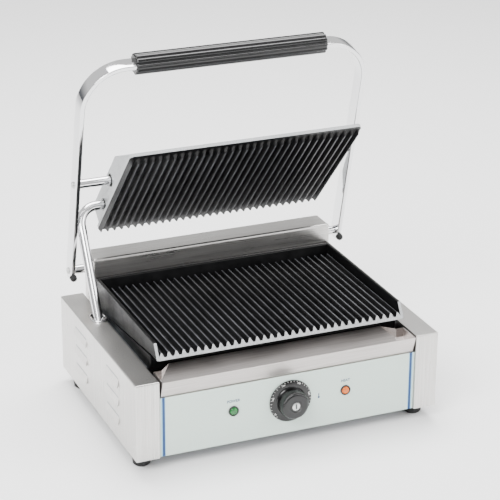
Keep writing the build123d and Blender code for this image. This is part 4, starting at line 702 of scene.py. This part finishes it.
def lettering(name, text, height, centre, out, up, material, body, thick=0.12 * MM):
    """Printed text as a thin closed mesh, its centre and its directions given in the row frame."""
    curve = bpy.data.curves.new(name, "FONT")
    curve.body, curve.size, curve.extrude = text, height / 0.7, thick / 2
    curve.align_x = curve.align_y = "CENTER"
    curve.offset = 0.02 * height
    holder = bpy.data.objects.new(name, curve)
    bpy.context.scene.collection.objects.link(holder)
    bpy.context.view_layer.update()
    mesh = bpy.data.meshes.new_from_object(holder.evaluated_get(bpy.context.evaluated_depsgraph_get()))
    bpy.data.objects.remove(holder)
    out, up = Vector(out).normalized(), Vector(up).normalized()
    right = up.cross(out)
    turn = Matrix((right, up, out)).transposed().to_4x4()
    turn.translation = Vector(centre)
    mesh.transform(turn)
    mesh.materials.clear()
    mesh.materials.append(material)
    piece = bpy.data.objects.new(name, mesh)
    bpy.context.scene.collection.objects.link(piece)
    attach(piece, body)
    return piece


face_y = LABEL[LOW][1] - 0.06 * MM
dial_z = DIAL[2]
LAMP_X, CAPTION_UP, CAPTION_H = 80 * MM, 14 * MM, 3.7 * MM
for x, word in ((-LAMP_X, "power"), (LAMP_X, "heat")):
    lettering("caption_" + word, word.upper(), CAPTION_H, (x, face_y, dial_z + CAPTION_UP), (0, -1, 0),
              (0, 0, 1), blue_ink, "base")
NUMBERS = ["50", "100", "150", "200", "250", "300"]
dial_slope = np.arctan2(1.6, 5.5)
for i, word in enumerate(NUMBERS):
    a = np.radians(-125 + i * 50.0)
    radial = np.array([np.sin(a), 0, np.cos(a)])
    out = np.array([0, -np.cos(dial_slope), 0]) + radial * np.sin(dial_slope)
    at = np.array([0, skirt_back - 2.35 * MM, dial_z]) + radial * 26.0 * MM
    lettering(f"dial_number_{word}", word, 2.6 * MM, at, out, radial, white_ink, "control_knob")
turn = np.radians(-135 + 9.0 * np.arange(31))[:, None]
spoke = np.stack([np.sin(turn), 0 * turn, np.cos(turn)], -1)
cross = np.stack([np.cos(turn), 0 * turn, -np.sin(turn)], -1)
size = np.where(np.arange(31) % 5 == 0, 2.0, 1.2)[:, None] * MM
r, w, d = (v.ravel() for v in np.meshgrid([1, 0], [-0.22, 0.22], [0.0, 0.25], indexing="ij"))
radial = 28.95 * MM - r * size
depth = skirt_back - 1.5 * MM - (29.1 * MM - radial) * 1.6 / 5.5 + d * MM
points = radial[..., None] * spoke + (w * MM)[:, None] * cross
points += depth[..., None] * np.array([0, 1, 0]) + np.array([0, 0, dial_z])
box = np.array([[0, 1, 3, 2], [4, 6, 7, 5], [0, 4, 5, 1], [2, 3, 7, 6], [0, 2, 6, 4], [1, 5, 7, 3]])
tick_faces = (8 * np.arange(31)[:, None, None] + box).reshape(-1, 4).tolist()
make("dial_ticks", points.reshape(-1, 3), tick_faces, white_ink, "control_knob")

SLOT_HALF, SLOT_TALL, THERMO_X, STEM_HALF = 0.9 * MM, 3.6 * MM, 41.5 * MM, 0.6 * MM
slot = rounded([(-SLOT_HALF, dial_z - SLOT_TALL), (SLOT_HALF, dial_z - SLOT_TALL),
                (SLOT_HALF, dial_z + SLOT_TALL), (-SLOT_HALF, dial_z + SLOT_TALL)], 0.3 * MM, 3)
# painted shade: the slot is a flat near-black film on the cap face, for the shade inside it
slab("knob_cap_slot", slot, knob_front, knob_front + 0.2 * MM, forward, shadow,
     "control_knob", 0.04 * MM, 2)
left, right = THERMO_X - STEM_HALF, THERMO_X + STEM_HALF
stem = rounded([(left, dial_z - 2 * MM), (right, dial_z - 2 * MM), (right, dial_z + 2.6 * MM),
                (left, dial_z + 2.6 * MM)], 0.5 * MM, 4)
slab("thermometer_stem", stem, face_y - 0.06 * MM, face_y + 0.06 * MM, forward, blue_ink, "base",
     0.02 * MM, 2)
turned("thermometer_bulb", [THERMO_X, face_y, dial_z - 3.2 * MM], (0, 1, 0),
       [(-0.06 * MM, 1.5 * MM), (0.06 * MM, 1.5 * MM)], blue_ink, "base", 24)

# ------------------------------------------------------------------ lamps
for x, word, finish in ((-LAMP_X, "power", green), (LAMP_X, "heat", orange)):
    dome = [(0.4, 5.3), (0.0, 5.3), (-1.4, 5.0), (-2.3, 4.2), (-2.9, 2.8), (-3.1, 1.1), (-3.12, 0.2)]
    face = LABEL[LOW][1]
    lens = turned(word + "_lens", [x, face - 0.5 * MM, dial_z], (0, 1, 0), np.array(dome) * MM, finish,
                  "base", 48)
    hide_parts(word + "_lamp_lens")

# ------------------------------------------------------------------ floor, light and camera
side = 6.0
floor_mesh = bpy.data.meshes.new("floor")
floor_mesh.from_pydata([(-side, -side, 0), (side, -side, 0), (side, side, 0), (-side, side, 0)], [],
                       [(0, 1, 2, 3)])
# seamless white paper: matt, so that only soft shadows show
floor = bpy.data.objects.new("floor", floor_mesh)
bpy.context.scene.collection.objects.link(floor)
paper, tree, shader, where = start("studio paper, matt white")
shader.inputs["Base Color"].default_value = linear("#FFFFFF")
shader.inputs["Roughness"].default_value = 0.9
floor_mesh.materials.append(paper)

world = bpy.data.worlds.new("studio")
bpy.context.scene.world = world
world.use_nodes = True
sky = world.node_tree
ray = add(sky, "ShaderNodeTexCoord").outputs["Generated"]
climb = add(sky, "ShaderNodeSeparateXYZ", wires={0: ray})
bands = add(sky, "ShaderNodeValToRGB", wires={"Fac": climb.outputs["Z"]})
bands.color_ramp.elements[0].position, bands.color_ramp.elements[0].color = 0.0, (0.16, 0.165, 0.18, 1)
bands.color_ramp.elements[1].position, bands.color_ramp.elements[1].color = 0.30, (1.0, 1.0, 1.0, 1)
sky.links.new(bands.outputs["Color"], sky.nodes["Background"].inputs["Color"])
world.node_tree.nodes["Background"].inputs[1].default_value = 1.0


def softbox(name, place, aim, size, power, tint=(1, 1, 1)):
    """A rectangular soft light at place, turned to aim."""
    lamp = bpy.data.lights.new(name, "AREA")
    lamp.shape, lamp.size, lamp.size_y = "RECTANGLE", size[0], size[1]
    lamp.energy, lamp.color = power, tint
    holder = bpy.data.objects.new(name, lamp)
    holder.location = place
    holder.rotation_euler = (Vector(aim) - Vector(place)).to_track_quat("-Z", "Y").to_euler()
    bpy.context.scene.collection.objects.link(holder)


softbox("key", (-1.6, -1.4, 2.0), (0, 0, 0.15), (1.6, 1.2), 105)
softbox("fill", (1.9, -1.7, 1.3), (0, 0, 0.2), (1.4, 1.4), 42)
softbox("top", (0.2, 0.7, 2.4), (0, 0, 0.2), (2.0, 1.4), 110)

CAMERA_AT = (np.array([-930.41, -2043.73, 1184.60]) * MM
             + np.array([0.0, LEFT_CASE[LOW][1], LEFT_CASE[LOW][2]]))
YAW, PITCH, ROLL, LENS = np.radians(23.080), np.radians(22.385), np.radians(0.347), 138.22
ahead = np.array([np.sin(YAW) * np.cos(PITCH), np.cos(YAW) * np.cos(PITCH), -np.sin(PITCH)])
level = np.array([np.cos(YAW), -np.sin(YAW), 0])
above = np.cross(level, ahead)
right = np.cos(ROLL) * level + np.sin(ROLL) * above
upright = -np.sin(ROLL) * level + np.cos(ROLL) * above
lens = bpy.data.cameras.new("camera")
lens.lens, lens.sensor_width = LENS, 36.0
camera = bpy.data.objects.new("camera", lens)
turn = Matrix((Vector(right), Vector(upright), Vector(-ahead))).transposed().to_4x4()
turn.translation = Vector(CAMERA_AT)
camera.matrix_world = turn
bpy.context.scene.collection.objects.link(camera)
bpy.context.scene.camera = camera
